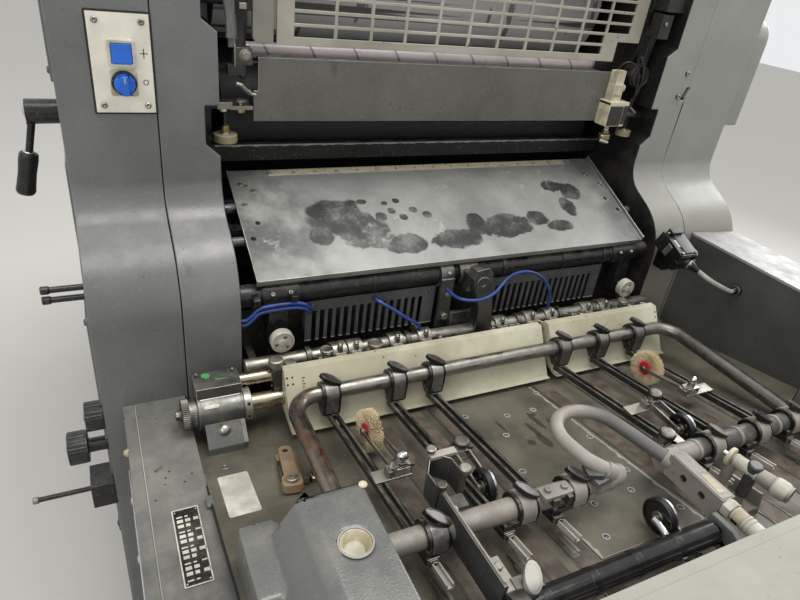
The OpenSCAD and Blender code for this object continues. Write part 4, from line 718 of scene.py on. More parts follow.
class Part:
    """Mesh of one piece, gathered from simple forms in millimetres"""
    LIFT = {"x": lambda u, v, d: (d, u, v), "y": lambda u, v, d: (u, d, v), "z": lambda u, v, d: (u, v, d)}

    def __init__(self, name, slot=None, body="press"):
        self.name = name
        self.slot = slot
        self.body = body
        self.points = []
        self.faces = []
        self.looks = []
        self.face_looks = []
        self.place = Matrix()

    def at(self, place):
        """Draw what is added from here on in this frame"""
        self.place = place
        return self

    def skin(self, look, points, faces):
        if look not in self.looks:
            self.looks.append(look)
        first = len(self.points)
        self.points += [self.place @ Vector(p) for p in points]
        self.faces += [[first + i for i in face] for face in faces]
        self.face_looks += [self.looks.index(look)] * len(faces)
        return self

    def rings(self, look, rings, closed=False):
        """Skin over rings of as many points each, capped unless the last joins the first"""
        count = len(rings[0])
        faces = []
        for i in range(len(rings) if closed else len(rings) - 1):
            a = i * count
            b = (i + 1) % len(rings) * count
            faces += [(a + k, a + (k + 1) % count, b + (k + 1) % count, b + k) for k in range(count)]
        if not closed:
            last = (len(rings) - 1) * count
            faces += [list(range(count))[::-1], [last + k for k in range(count)]]
        return self.skin(look, [p for ring in rings for p in ring], faces)

    def lathe(self, look, at, along, profile, sides=24, hexes=(), closed=False):
        """Turned form from radius and distance at each ring, hexagonal where listed"""
        turn = Vector(along).to_track_quat("Z", "Y")
        rings = []
        for i, (radius, distance) in enumerate(profile):
            ring = []
            for k in range(sides):
                a = 2 * pi * k / sides
                flat = cos((a + pi / 6) % (pi / 3) - pi / 6)
                reach = radius / flat * 0.9 if i in hexes else radius
                ring.append(Vector(at) + turn @ Vector((reach * cos(a), reach * sin(a), distance)))
            rings.append(ring)
        return self.rings(look, rings, closed)

    def prism(self, look, outline, low, high, axis="x"):
        lift = self.LIFT[axis]
        return self.rings(look, [[lift(u, v, d) for u, v in outline] for d in (low, high)])

    def frame(self, look, outer, inner, low, high, axis="x"):
        """Plate with an opening; both outlines have as many points"""
        lift = self.LIFT[axis]
        edges = ((outer, low), (outer, high), (inner, high), (inner, low))
        return self.rings(look, [[lift(u, v, d) for u, v in line] for line, d in edges], closed=True)

    def box(self, look, low, high):
        return self.prism(look, [(low[0], low[1]), (high[0], low[1]), (high[0], high[1]), (low[0], high[1])],
                          low[2], high[2], "z")

    def tube(self, look, points, radius, sides=12, flat=1.0):
        """Round or flattened bar along points"""
        path = [Vector(p) for p in points]
        rings = []
        side = None
        for i, p in enumerate(path):
            along = (path[min(i + 1, len(path) - 1)] - path[max(i - 1, 0)]).normalized()
            if side is None:
                side = along.orthogonal().normalized()
            side = (side - along * side.dot(along)).normalized()
            up = along.cross(side)
            rings.append([p + radius * (side * cos(2 * pi * k / sides)
                                        + up * flat * sin(2 * pi * k / sides)) for k in range(sides)])
        return self.rings(look, rings)

    def mesh(self):
        made = bpy.data.meshes.new(self.name)
        made.from_pydata([p * MM for p in self.points], [], self.faces)
        for look in self.looks:
            if look:
                made.materials.append(MATERIALS[look])
        made.polygons.foreach_set("material_index", self.face_looks)
        shape = bmesh.new()
        shape.from_mesh(made)
        bmesh.ops.recalc_face_normals(shape, faces=shape.faces)
        shape.to_mesh(made)
        shape.free()
        made.shade_smooth()
        return made

    def finish(self, bevel=0.4, replaces=()):
        piece = enter(self.name, self.mesh(), self.body)
        if bevel:
            round_edges(piece, bevel)
            piece.modifiers["round_edges"].use_clamp_overlap = True
        else:
            SOFTEN.put_on(piece, Sharp=PIECE_EDGE)
        for node in replaces:
            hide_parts(node)
        return piece


SOFTEN = soften_tree()


# Heads of screws and rivets, drawn with a radius of one millimetre
HEAD_FORMS = {
    "dome": dict(profile=[(1, 0), (1, 0.25), (0.85, 0.5), (0.58, 0.62), (0.52, 0.62), (0.45, 0.3)],
                 hexes=(4, 5)),
    "socket": dict(profile=[(1, 0), (1, 0.95), (0.9, 1.05), (0.62, 1.05), (0.55, 0.45)], hexes=(3, 4)),
    "hex": dict(profile=[(1.4, 0), (1.4, 0.18), (1.0, 0.2), (1.0, 0.85), (0.86, 0.97)], hexes=(2, 3, 4)),
    "rivet": dict(profile=[(1, 0), (0.92, 0.22), (0.66, 0.42), (0.3, 0.5)]),
    "disc": dict(profile=[(1, 0), (1, 0.06)]),
    "ring": dict(profile=[(1, 0), (0.97, 0.2), (0.64, 0.24), (0.58, 0)], closed=True),
}
HEADS = {}
for kind, form in HEAD_FORMS.items():
    sides = 12 if kind in ("disc", "rivet") else 18
    head_mesh = Part("head_" + kind).lathe(None, (0, 0, 0), TO_TOP, sides=sides, **form).mesh()
    HEADS[kind] = bpy.data.objects.new("head_" + kind, head_mesh)
tick_mesh = Part("head_tick").box(None, (-0.1, -1, 0), (0.1, 0, 0.06)).mesh()
HEADS["tick"] = bpy.data.objects.new("head_tick", tick_mesh)
for head in HEADS.values():
    bpy.context.scene.collection.objects.link(head)


def fastener_tree():
    """Turned copies of a head on the points, each spun by chance about its axis"""
    geo = Geo("fasteners", Head="Object", Finish="Material", Seed="Int", Spin="Float")
    head = geo.out("GeometryNodeObjectInfo", {"Object": geo.given["Head"]}, "Geometry")
    facing = geo.out("GeometryNodeInputNamedAttribute", {"Name": "facing"}, data_type="FLOAT_VECTOR")
    size = geo.out("GeometryNodeInputNamedAttribute", {"Name": "size"}, data_type="FLOAT")
    aimed = geo.out("FunctionNodeAlignRotationToVector", {"Vector": facing}, axis="Z")
    chance = geo.add("FunctionNodeRandomValue", {"Seed": geo.given["Seed"]}, data_type="FLOAT")
    spin = Value(geo, chance.outputs[1]) * geo.given["Spin"]
    about = geo.out("FunctionNodeAxisAngleToRotation", {"Axis": TO_TOP, "Angle": spin})
    turned = geo.out("FunctionNodeRotateRotation", {"Rotation": aimed, "Rotate By": about},
                     rotation_space="LOCAL")
    heads = geo.out("GeometryNodeInstanceOnPoints", {"Points": geo.given["Geometry"], "Instance": head,
                                                     "Rotation": turned, "Scale": size})
    return geo.end(heads, geo.given["Finish"])


FASTENERS = fastener_tree()


def screws(name, head, look, slot, size, spots, facing=TO_TOP, body="press", spin=6.28):
    """Heads of one kind at the spots; a spot may give its own direction and size"""
    facings = [spot[3] if len(spot) > 3 else facing for spot in spots]
    sizes = [spot[4] if len(spot) > 4 else size for spot in spots]
    return FASTENERS.bake(name, [spot[:3] for spot in spots], facings, sizes, body, slot,
                          Head=HEADS[head], Finish=MATERIALS[look], Seed=len(name), Spin=spin)


def bristle_tree():
    """Thin tapering hairs on the points, leaning a little by chance"""
    geo = Geo("bristles", Length="Float", Thickness="Float", Lean="Float", Finish="Material", Seed="Int")
    hair = geo.out("GeometryNodeMeshCone", {"Vertices": 4, "Radius Top": geo.given["Thickness"] * 0.8,
                                            "Radius Bottom": geo.given["Thickness"] * 0.5,
                                            "Depth": geo.given["Length"]}, fill_type="NGON")
    facing = geo.out("GeometryNodeInputNamedAttribute", {"Name": "facing"}, data_type="FLOAT_VECTOR")
    aimed = geo.out("FunctionNodeAlignRotationToVector", {"Vector": facing}, axis="Z")
    leans = []
    for shift in (0, 7):
        chance = geo.add("FunctionNodeRandomValue", {2: -1.0, 3: 1.0, "Seed": geo.given["Seed"] + shift},
                         data_type="FLOAT")
        leans.append(Value(geo, chance.outputs[1]) * geo.given["Lean"])
    lean = geo.out("ShaderNodeCombineXYZ", [leans[0], leans[1], 0.0])
    by = geo.out("FunctionNodeEulerToRotation", {"Euler": lean})
    turned = geo.out("FunctionNodeRotateRotation", {"Rotation": aimed, "Rotate By": by},
                     rotation_space="LOCAL")
    hairs = geo.out("GeometryNodeInstanceOnPoints", {"Points": geo.given["Geometry"], "Instance": hair,
                                                     "Rotation": turned})
    return geo.end(hairs, geo.given["Finish"])


BRISTLES = bristle_tree()


def words_mesh(name, items, look, place, size):
    """Plain numbers: pairs of text and place along the frame's X and Y"""
    merged = bmesh.new()
    for text, u, v in items:
        curve = bpy.data.curves.new(name, "FONT")
        curve.body = text
        curve.align_x = "CENTER"
        curve.align_y = "CENTER"
        curve.size = size
        curve.extrude = NUMBER_DEPTH
        source = bpy.data.objects.new(name, curve)
        bpy.context.scene.collection.objects.link(source)
        bpy.context.view_layer.update()
        made = bpy.data.meshes.new_from_object(source.evaluated_get(bpy.context.evaluated_depsgraph_get()))
        made.transform(Matrix.Scale(MM, 4) @ place @ Matrix.Translation((u, v, 0)))
        merged.from_mesh(made)
        bpy.data.objects.remove(source)
        bpy.data.meshes.remove(made)
    bmesh.ops.remove_doubles(merged, verts=merged.verts, dist=1e-6)
    bmesh.ops.recalc_face_normals(merged, faces=merged.faces)
    result = bpy.data.meshes.new(name)
    merged.to_mesh(result)
    merged.free()
    result.materials.append(MATERIALS[look])
    return enter(name, result, "press")


# Operator panel and its fittings
def panel_details():
    # Dark layer behind the panel: painted shadow round its edge
    shadow_rim = Part("panel_gasket", "rubber_black")
    shadow_rim.prism("rubber_black", rounded((-581, 1259), (-503.2, 1387), 2), -1.0, 0.3, "y")
    shadow_rim.finish(0.2)
    bezel = Part("panel_bezels", "cream_plastic")
    for z, reach in ((BUTTON_Z, 16.5), (SELECTOR_Z, 17)):
        inner = 12.7 if z == BUTTON_Z else 15.2
        outer = rounded((PANEL_X - reach, z - reach), (PANEL_X + reach, z + reach), 3.5, 6)
        if z == BUTTON_Z:
            ring = rounded((PANEL_X - inner, z - inner), (PANEL_X + inner, z + inner), 1.2, 6)
            bezel.frame("plastic_white", outer, ring, -9.2, -2.4, "y")
        else:
            bezel.prism("plastic_cream", outer, -3.6, -2.4, "y")
    bezel.finish(0.7)
    ring = Part("selector_ring", "black_plastic")
    ring.lathe("plastic_black", (PANEL_X, -2.6, SELECTOR_Z), TO_FRONT,
               [(15.8, 0), (15.8, 3.4), (14.6, 4.6), (12.9, 4.8), (12.9, 0)], 40, closed=True)
    ring.finish(0.3)
    screws("panel_screws", "dome", "steel", "plate_steel", 4.2,
           [(PANEL_X + u * 27, -2.5, PANEL_Z + v * 52) for u in (-1, 1) for v in (-1, 1)], TO_FRONT)
    mark = Part("selector_pointer", "cream_plastic", "selector_knob")
    mark.box("plastic_white", (-542.8, -26.6, 1304), (-541.2, -26.3, 1311))
    mark.finish(0)
    signs = Part("panel_signs", "rubber_black")
    signs.box("ink_black", (-515.6, -2.65, 1331), (-514.4, -2.4, 1343))
    signs.box("ink_black", (-519.5, -2.65, 1336.4), (-510.5, -2.4, 1337.6))
    signs.lathe("ink_black", (-515, -2.4, 1301), TO_FRONT, [(3.6, 0), (3.6, 0.25), (2.6, 0.25), (2.6, 0)], 24,
                closed=True)
    signs.finish(0)


# Levers, blocks and knobs between the left column and the guards
def guard_left_details():
    lever = Part("guard_lever_left", "black_iron")
    arc = [(-401, 30 + 3 * sin(t * 3), 1452 - 96 * t) for t in [k / 10 for k in range(11)]]
    arc = [(x - 10 + 16 * sin(k / 10 * 1.9), y, z) for k, (x, y, z) in enumerate(arc)]
    lever.tube("casting_grey", arc, 11, 12, 0.55)
    lever.lathe("steel", (-398, 22, 1455), TO_FRONT, [(11, 0), (11, 6), (9, 7), (5.5, 7), (5.5, 3)], 24)
    lever.box("guard_grey", (-401, 26, 1345), (-391, 36, 1418))
    lever.box("steel", (-386, 20, 1396), (-376, 30, 1404))
    lever.finish(0.8)
    block = Part("guard_bolt_block", "black_iron")
    block.prism("steel_dark", rounded((-392, 1322), (-367.6, 1346), 2), 24, 38, "y")
    block.lathe("steel", (-378, 24, 1336), TO_FRONT, [(8.5, 0), (8.5, 1.2), (6.2, 1.2), (6.2, 6), (5.2, 6.6)],
                24, hexes=(2, 3, 4))
    block.box("steel", (-394, 22, 1320), (-391.5, 40, 1350))
    block.box("bracket_iron", (-403, 24, 1308), (-378, 38, 1322))
    block.tube("steel", [(-391, 26, 1296), (-384, 25, 1294), (-376, 28, 1286), (-371, 30, 1282)], 3.2, 10)
    block.tube("steel", [(-374, 27, 1287), (-368.5, 27, 1281), (-362, 27, 1280)], 2.6, 10)
    block.finish(0.4)
    arm = Part("guard_arm_left", "dusty_steel")
    arm.box("steel", (-418, 30, 1258), (-396, 40, 1268))
    arm.box("steel", (-398, 32, 1256.5), (-365, 42, 1262))
    arm.lathe("steel", (-383, 37, 1262), TO_TOP, [(3, 0), (3, 6), (8, 6), (8, 8.4), (7, 9)], 24)
    arm.lathe("brass", (-383, 37, 1256.5), TO_FLOOR, [(7, 0), (7, 4), (4, 5)], 18)
    arm.lathe("plastic_cream", (-409, 34, 1258), TO_FLOOR, [(5, 0), (5, 3.5), (3.4, 4)], 16)
    arm.lathe("brass", (-405, 45, 1256), TO_FLOOR, [(2.2, 0), (2.2, 24), (6.5, 26), (6.5, 33), (5, 37)], 18)
    arm.finish(0.4)
    knob = Part("clamp_knob_rims", "dusty_steel")
    for x, radius, z in ((-405, 18.2, 1206), (409, 15.2, 1206)):
        teeth = []
        for lift in (0.2, 1.0, 11.0, 11.8):
            reach = radius - (0.9 if lift in (0.2, 11.8) else 0)
            teeth.append([(x + (reach - 0.7 * (k % 2)) * cos(pi * k / 36),
                           45 + (reach - 0.7 * (k % 2)) * sin(pi * k / 36), z + lift) for k in range(72)])
        inner = [[(x + (radius - 3) * cos(pi * k / 36), 45 + (radius - 3) * sin(pi * k / 36),
                   z + lift) for k in range(72)] for lift in (12.0, 11.0, 1.0, 0.0)]
        knob.rings("brass", teeth + inner, closed=True)
        knob.lathe("steel", (x, 45, z + 12), TO_TOP, [(7, 0), (6.2, 2.2), (4, 3.4)], 18)
        knob.lathe("brass", (x, 45, z), TO_FLOOR, [(5, 0), (4.4, 2), (2, 2.6)], 18)
    knob.finish(0.2)


# Discs, lever and shafts between the guards and the right column
def guard_right_details():
    disc = Part("guard_disc_right", "plate_steel")
    disc.lathe("bracket_iron", (398, 32, 1325), TO_FRONT, [(21, 0), (21, 3), (17, 4.4), (16, 3), (7, 3),
                                                           (6, 6), (3, 6.6)],
               36)
    disc.lathe("steel_dark", (398, 46, 1325), TO_FRONT, [(22.5, -14), (22.5, 12), (19, 13), (18, 10)], 36)
    disc.tube("iron_black", [(384, 30, 1362), (392, 24, 1345), (396, 22, 1320), (394, 24, 1296),
                             (388, 30, 1278)],
              6, 10, 0.6)
    disc.finish(0.6)
    arm = Part("guard_arm_right", "dusty_steel")
    arm.box("steel_dark", (372.5, 30, 1250), (412, 40, 1260))
    arm.tube("steel", [(390, 28, 1268), (398, 26, 1262), (407, 27, 1257)], 3, 10)
    arm.lathe("brass", (346, 30, 1204), TO_TOP, [(11.4, 0.5), (11.4, 9), (9, 10.6), (5, 11.5)], 28)
    arm.lathe("steel", (346, 30, 1216), TO_TOP, [(7.4, 0), (7.4, 4), (5.6, 5)], 18)
    arm.tube("chrome", [(330, 25, 1203), (340, 22, 1201), (349, 20, 1199)], 3.4, 12)
    arm.tube("chrome", [(333, 28, 1212), (340, 24, 1210), (347, 22, 1208)], 3.0, 12)
    arm.finish(0.4)
    cup = Part("bracket_box_right", "black_iron")
    cup.box("bracket_iron", (393, 14, 1398), (420, 40, 1440))
    cup.lathe("steel", (404, 14, 1424), TO_FRONT, [(4, 0), (4, 3), (3, 3.6)], 14, hexes=(0, 1, 2))
    cup.finish(1.0)
    plate = Part("switch_box_front", "plate_steel", "blanket_guard")
    plate.prism("iron_worn", rounded((326, 1235), (359, 1272), 1.5), 12.6, 14.4, "y")
    plate.box("cream_enamel", (324, 12.8, 1273.5), (372, 46, 1280.2))
    plate.box("iron_worn", (361, 13.4, 1238), (372.6, 42, 1273))
    plate.finish(0.5)
    plug = Part("switch_plug", "cream_plastic", "blanket_guard")
    plug.box("plastic_cream", (332, 24.6, 1280), (355.6, 40, 1310))
    plug.box("plastic_cream", (335.4, 25.2, 1310), (352.6, 40, 1336.5))
    plug.box("plastic_white", (333.4, 24, 1308), (354.4, 38, 1311.6))
    for x in (338, 343.2, 348.4):
        # Pin holes drawn as painted shade
        plug.box("hole_and_gap_shade", (x, 24.2, 1288), (x + 2, 24.8, 1292))
    plug.lathe("plastic_white", (354, 33, 1304), (1, 0, -0.3), [(6.8, 0), (6.8, 8), (5.6, 9.6), (2.6, 10)],
               20)
    plug.finish(0.9)
    lip = Part("blanket_guard_lip", "guard_paint", "blanket_guard")
    lip.tube("bare_edge", [(-352, 46.4, 1329.6), (358, 46.4, 1329.6)], 0.7, 8)
    lip.finish(0)
    screws("right_column_screws", "dome", "column_right", "painted_light", 5.2,
           [(487, 0, 1341), (481, 0, 1297)], TO_FRONT)
    screws("left_column_screws", "dome", "column_left", "painted_dark", 4.4,
           [(-470, 0, 1470), (-585, 0, 1470)], TO_FRONT)


# Slanted plate: ruler marks, screws and holes
def infeed_details():
    for size, spread, every in ((5.0, 50, 1), (3.2, 10, 5)):
        spots = [tuple(INFEED @ Vector((x, 233.4, 1.5))) for x in range(-320, 321, spread)
                 if every == 1 or x % 50]
        screws("ruler_ticks_%d" % spread, "tick", "ink_black", "rubber_black", size, spots, INFEED_UP,
               spin=0.0)
    words_mesh("ruler_numbers", [(str(abs(k) * 4), k * 40, 225.6) for k in range(-8, 9)], "ink_black",
               INFEED @ Matrix.Translation((0, 0, 1.5)), 8.5)
    local = [(-357, 66, 1115), (-378, 38, 1102), (-375, 81, 1122), (-368, 76, 1120), (-366, 1, 1085),
             (-380, -28, 1072)]
    rings = []
    for x, y, z in local:
        spot = INFEED.inverted() @ Vector((x, y, z))
        rings.append(INFEED @ Vector((spot.x, spot.y, 0)))
    mirrored = [Vector((-p.x + 2, p.y, p.z)) for p in rings]
    screws("infeed_screw_rings", "ring", "steel", "plate_steel", 5.6,
           [tuple(p) for p in rings[:4] + mirrored[:2]],
           INFEED_UP)
    screws("infeed_screws", "dome", "steel_dark", "plate_steel", 3.1,
           [tuple(p) for p in rings[:4] + mirrored[:2]],
           INFEED_UP)
    # Holes drawn as discs of painted shade
    screws("infeed_holes", "disc", "hole_and_gap_shade", "rubber_black", 4.2,
           [tuple(p) for p in rings[4:] + mirrored[4:]],
           INFEED_UP)
    strip = Part("infeed_rim_left", "plate_steel").at(INFEED)
    strip.box("bare_edge", (-393, 0, -0.2), (-391.6, 236, 1.6))
    strip.box("bare_edge", (-393, -0.6, -6), (393, 0.4, -4.6))
    strip.finish(0.2)
    rail = Part("black_rail_chips", "black_iron")
    shape = [(-420 + 8 * k, 1178.2 - 2.2 - 1.9 * abs(sin(k * 1.7) * cos(k * 0.61))) for k in range(106)]
    edge = shape + [(x, 1178.3) for x, _ in shape[::-1]]
    rail.prism("bare_edge", edge, 113.3, 114.3, "y")
    rail.finish(0)


# Lay shaft clamps, posts and hangers
def lay_details():
    lays = [-268, -240, -165, -110, 50, 118, 165, 255, 300]
    screws("lay_clamp_screws", "socket", "steel", "plate_steel", 4.4, [(x, -147, 924) for x in lays])
    screws("lay_side_screws", "socket", "steel_dark", "black_iron", 3.6, [(x, -156, 906) for x in lays],
           TO_FRONT)
    caps = Part("lay_post_caps", "dusty_steel")
    for x, z, d in ((-296, 935, 20), (-212, 932, 24), (76, 918, 12), (228, 922, 16), (330, 935, 20)):
        r = d / 2 + 0.8
        caps.lathe("steel", (x, -160, z - 6.4), TO_TOP,
                   [(r - 1, 0), (r, 1), (r, 5.6), (r - 1.2, 6.8), (r * 0.62, 6.8), (r * 0.55, 5.4)], 28)
        caps.lathe("steel_dark", (x, -160, z - 16), TO_TOP, [(7.2, 0), (7.2, 4), (6.2, 5)], 20)
    for x in (-318, -258, -140, 92, 190, 275):
        caps.lathe("steel_dark", (x - 5, -135, 906), TO_RIGHT, [(17, 0), (17, 8), (15.5, 9)], 28)
    for x in (-90, 20, 205, 350):
        caps.box("chrome", (x, -162, 902), (x + 10, -138, 915))
        caps.lathe("steel", (x + 5, -155, 915), TO_TOP, [(4, 0), (4, 3), (3, 4)], 16, hexes=(0, 1, 2))
    for s in (-1, 1):
        caps.lathe("steel", (s * 355, -160, 916), TO_TOP, [(8.4, 0), (9.4, 1), (9.4, 5), (8, 6.4), (4, 6.6)],
                   26)
    caps.finish(0.4)
    shaft = Part("cross_shaft_details", "black_iron")
    for x in (-340, -200, 60, 200, 300):
        shaft.lathe("iron_black", (x, -86, 1004), TO_RIGHT, [(19.2, 0), (20.4, 1), (20.4, 9), (19.2, 10)], 36)
    shaft.lathe("steel", (-395, -106, 1000), (0, -1, 0.2), [(4, 0), (4, 4), (3, 4.6)], 16, hexes=(0, 1, 2))
    shaft.finish(0.5)
    screws("collar_screws", "socket", "steel", "plate_steel", 3.4,
           [(-369, -106, 1013), (-341, -106, 1013), (341, -106, 1013), (369, -106, 1013), (-58, -107, 1014)],
           (0, -0.75, 0.66))
    bracket = Part("centre_bracket_bolt", "plate_steel")
    bracket.lathe("bearing_iron", (-15, -150, 1012), TO_FRONT, [(13, 0), (13, 2), (11.6, 3), (6, 3),
                                                                (5.4, 1)], 28)
    bracket.lathe("steel", (-58, -112, 930), TO_FRONT, [(7, 0), (7, 5), (6, 6)], 18, hexes=(0, 1, 2))
    bracket.lathe("steel", (-58, -112, 975), TO_FRONT, [(5, 0), (5, 4), (4, 5)], 18, hexes=(0, 1, 2))
    bracket.finish(0.4)
    screws("comb_guard_screws", "dome", "steel_dark", "plate_steel", 3.4,
           [(x, -96, 977) for x in (-300, -192, -85, 58, 180, 300)], TO_FRONT)
    for side, name in ((-1, "left"), (1, "right")):
        face = Part("dial_face_" + name, "cream_plastic", "dial_knob_" + name)
        face.lathe("plastic_white", (side * 360, -136, 942), TO_FRONT,
                   [(18.1, -14), (18.6, -13), (18.6, -0.4), (17.8, 0.5), (6.6, 0.5), (6.2, 1.4), (5.2, 1.8)],
                   48)
        for k in range(36):
            a = tau * k / 36
            u, v = sin(a), cos(a)
            long = 3.4 if k % 3 else 5
            face.skin("ink_black", [(side * 360 + u * 17 + du * v, -136.6, 942 + v * 17 - du * u)
                                    for du in (-0.25, 0.25)]
                      + [(side * 360 + u * (17 - long) + du * v, -136.6, 942 + v * (17 - long) - du * u)
                         for du in (0.25, -0.25)], [(0, 1, 2, 3)])
        face.finish(0)
        screws("dial_screws_" + name, "dome", "steel_dark", "plate_steel", 2.6,
               [(side * 360 + 10.5 * sin(a), -136.4, 942 + 10.5 * cos(a)) for a in (0.3, 2.4, 4.5)],
               TO_FRONT, "dial_knob_" + name)


# Register plate, shafts, bearing and graduated ring
def register_details():
    across = Vector((0, -201 + 249, 938 - 860)).normalized()
    facing = Vector((0, -across.z, across.y))
    place = Matrix.Translation((0, -249, 860)) @ Matrix((
        (1, 0, 0, 0), (0, across.y, facing.y, 0), (0, across.z, facing.z, 0), (0, 0, 0, 1)))
    holes = []
    for x in (-374, -366, 372):
        for v in (70, 80):
            holes.append((*(place @ Vector((x, v, 0.2))), tuple(facing), 1.6))
    # Holes drawn as discs of painted shade
    screws("register_holes", "disc", "hole_and_gap_shade", "rubber_black", 1.6, holes)
    marks = Part("register_marks", "rubber_black").at(place)
    for k, v in enumerate((58, 62.5, 67, 71.5, 76)):
        marks.box("ink_black", (-352, v, 0), (-352 + (3.2 if k % 2 else 5), v + 1.4, 0.3))
    marks.finish(0)
    rim = Part("register_plate_edge", "cream_plate").at(place)
    for low, high in ((-377.5, 95), (111, 377.5)):
        rim.box("bare_edge", (low, -1.5, -0.4), (high, 1.2, 0.5))
    rim.finish(0.3)
    post = Part("register_end_post", "plate_steel")
    post.box("steel_dark", (-390, -196, 896), (-379, -176, 938))
    post.lathe("steel", (-385, -186, 938), TO_TOP, [(9, 0), (9, 5), (11, 6), (11, 12), (9, 13.4), (5, 13.6)],
               28)
    post.finish(0.5)
    screws("register_post_screws", "socket", "steel_dark", "black_iron", 2.4,
           [(-390, -188, z) for z in (904, 914, 925)], TO_LEFT)
    ring = Part("graduated_ring_body", "plate_steel", "graduated_ring")
    low = []
    for x, r, teeth in ((-526, 20, 0.8), (-525, 22.6, 1.2), (-516, 22.6, 1.2), (-515.6, 21.4, 0),
                        (-505, 21.6, 0),
                        (-504, 20.6, 0)):
        low.append([(x + 2, -200 + (r - teeth * (k % 2)) * cos(pi * k / 50),
                     890 + (r - teeth * (k % 2)) * sin(pi * k / 50)) for k in range(100)])
    ring.rings("steel_dark", low)
    ring.finish(0.2, ["graduated_ring"])
    dark = Part("graduated_ring_scale", "plate_steel", "graduated_ring")
    dark.lathe("steel_dark", (-513.6, -200, 890), TO_RIGHT, [(21.9, 0), (21.9, 9.4), (21, 9.6), (21, -0.2)],
               60,
               closed=True)
    dark.finish(0)
    marks = Part("graduated_ring_marks", "cream_plastic", "graduated_ring")
    for k in range(40):
        a = tau * k / 40
        wide = 0.012
        spots = []
        for x, b in ((-508.5, a - wide), (-508.5, a + wide), (-504.8, a + wide), (-504.8, a - wide)):
            spots.append((x, -200 + 22.05 * cos(b), 890 + 22.05 * sin(b)))
        marks.skin("plastic_white", spots, [(0, 1, 2, 3)])
    marks.finish(0)
    nut = Part("ring_screw", "plate_steel", "graduated_ring")
    nut.lathe("steel_dark", (-524, -200, 890), TO_LEFT, [(10, 0), (10, 2), (7, 2.2), (7, 7), (5.6, 8)], 24,
              hexes=(2, 3, 4))
    # Hole drawn as painted shade
    nut.lathe("hole_and_gap_shade", (-509, -219.8, 880), (0, -0.9, -0.42), [(3, 0.6), (2.6, 0.9)], 16)
    nut.finish(0.3)
    body = Part("bearing_details", "plate_steel")
    body.lathe("bearing_iron", (-502.9, -200, 890), TO_RIGHT, [(26.3, 0), (26.6, 0.8), (26.6, 4), (26, 5)],
               60)
    body.lathe("steel_dark", (-444.2, -200, 890), TO_RIGHT, [(25.4, 0), (26.2, 1), (26.2, 5), (25, 6)], 60)
    slot = rounded((-11, -3.2), (11, 3.2), 3.1, 6)
    keyed = Matrix.Translation((-484, -200, 890)) @ Matrix.Rotation(radians(40), 4, "X")
    body.at(keyed).prism("bare_edge", slot, 25.2, 26.6, "z").at(Matrix())
    body.prism("foot_grey", [(-251, 848), (-251, 861.4), (-250, 862.8), (-215.6, 895.6), (-215, 894),
                             (-249, 850)],
               -496, -446.6)
    body.finish(0.8)
    spot = Part("bearing_paint_spot", "cover_green_grey")
    spot.prism("green_paint", [(-490, -178), (-486, -182), (-481, -181), (-478, -176), (-481, -171),
                               (-487, -170),
                               (-491, -173)], 932.6, 934.2, "z")
    spot.prism("green_paint", [(-474, -186), (-471, -187.5), (-455, -187), (-454, -185.6), (-470, -184.6)],
               932.6, 933.2,
               "z")
    spot.finish(0.3)
    screws("bearing_bolts", "hex", "steel", "plate_steel", 6.4, [(-471, -233.6, 878.4)], (0, -0.686, 0.727))
    screws("bearing_cap_screws", "socket", "steel_dark", "plate_steel", 3.2,
           [(-497, -172, 933), (-446, -172, 933)])
    collar = Part("shaft_collar_rim", "plate_steel")
    collar.lathe("steel", (-438.7, -200, 890), TO_RIGHT, [(24.6, 0), (25.4, 0.6), (25.4, 10.6), (24.6, 11.2)],
                 60)
    collar.finish(0.2)
    # Screw sockets drawn as discs of painted shade
    screws("collar_set_screws", "disc", "hole_and_gap_shade", "rubber_black", 2.6,
           [(-433, -200 + 25.45 * cos(a), 890 + 25.45 * sin(a), (0, cos(a), sin(a)))
            for a in (2.5, 3.3, 1.2)])


panel_details()
guard_left_details()
guard_right_details()
infeed_details()
lay_details()
register_details()


RAIL_XS = [-315, -216, -146, 113, 198, 287]
TUBE_CLAMPS = [-319, -210, -143, 115, 202, 290]
BAR_CLAMPS = [-307, -190, -115, 131, 225, 300]
WHEELS = {"brush_wheel_left": (-286, -320, 31), "brush_wheel_right": (247, -324, 31),
          "rubber_wheel_a": (-196, -479, 23), "rubber_wheel_b": (154, -481, 23),
          "rubber_wheel_c": (-31, -608, 23)}


def wheel_axis(x, y, radius):
    return Vector((x, y, board_top(y) + (2 + 5 + radius) / cos(BOARD_ANGLE)))


def rail_top(y):
    return board_top(y) + 32 / cos(BOARD_ANGLE)


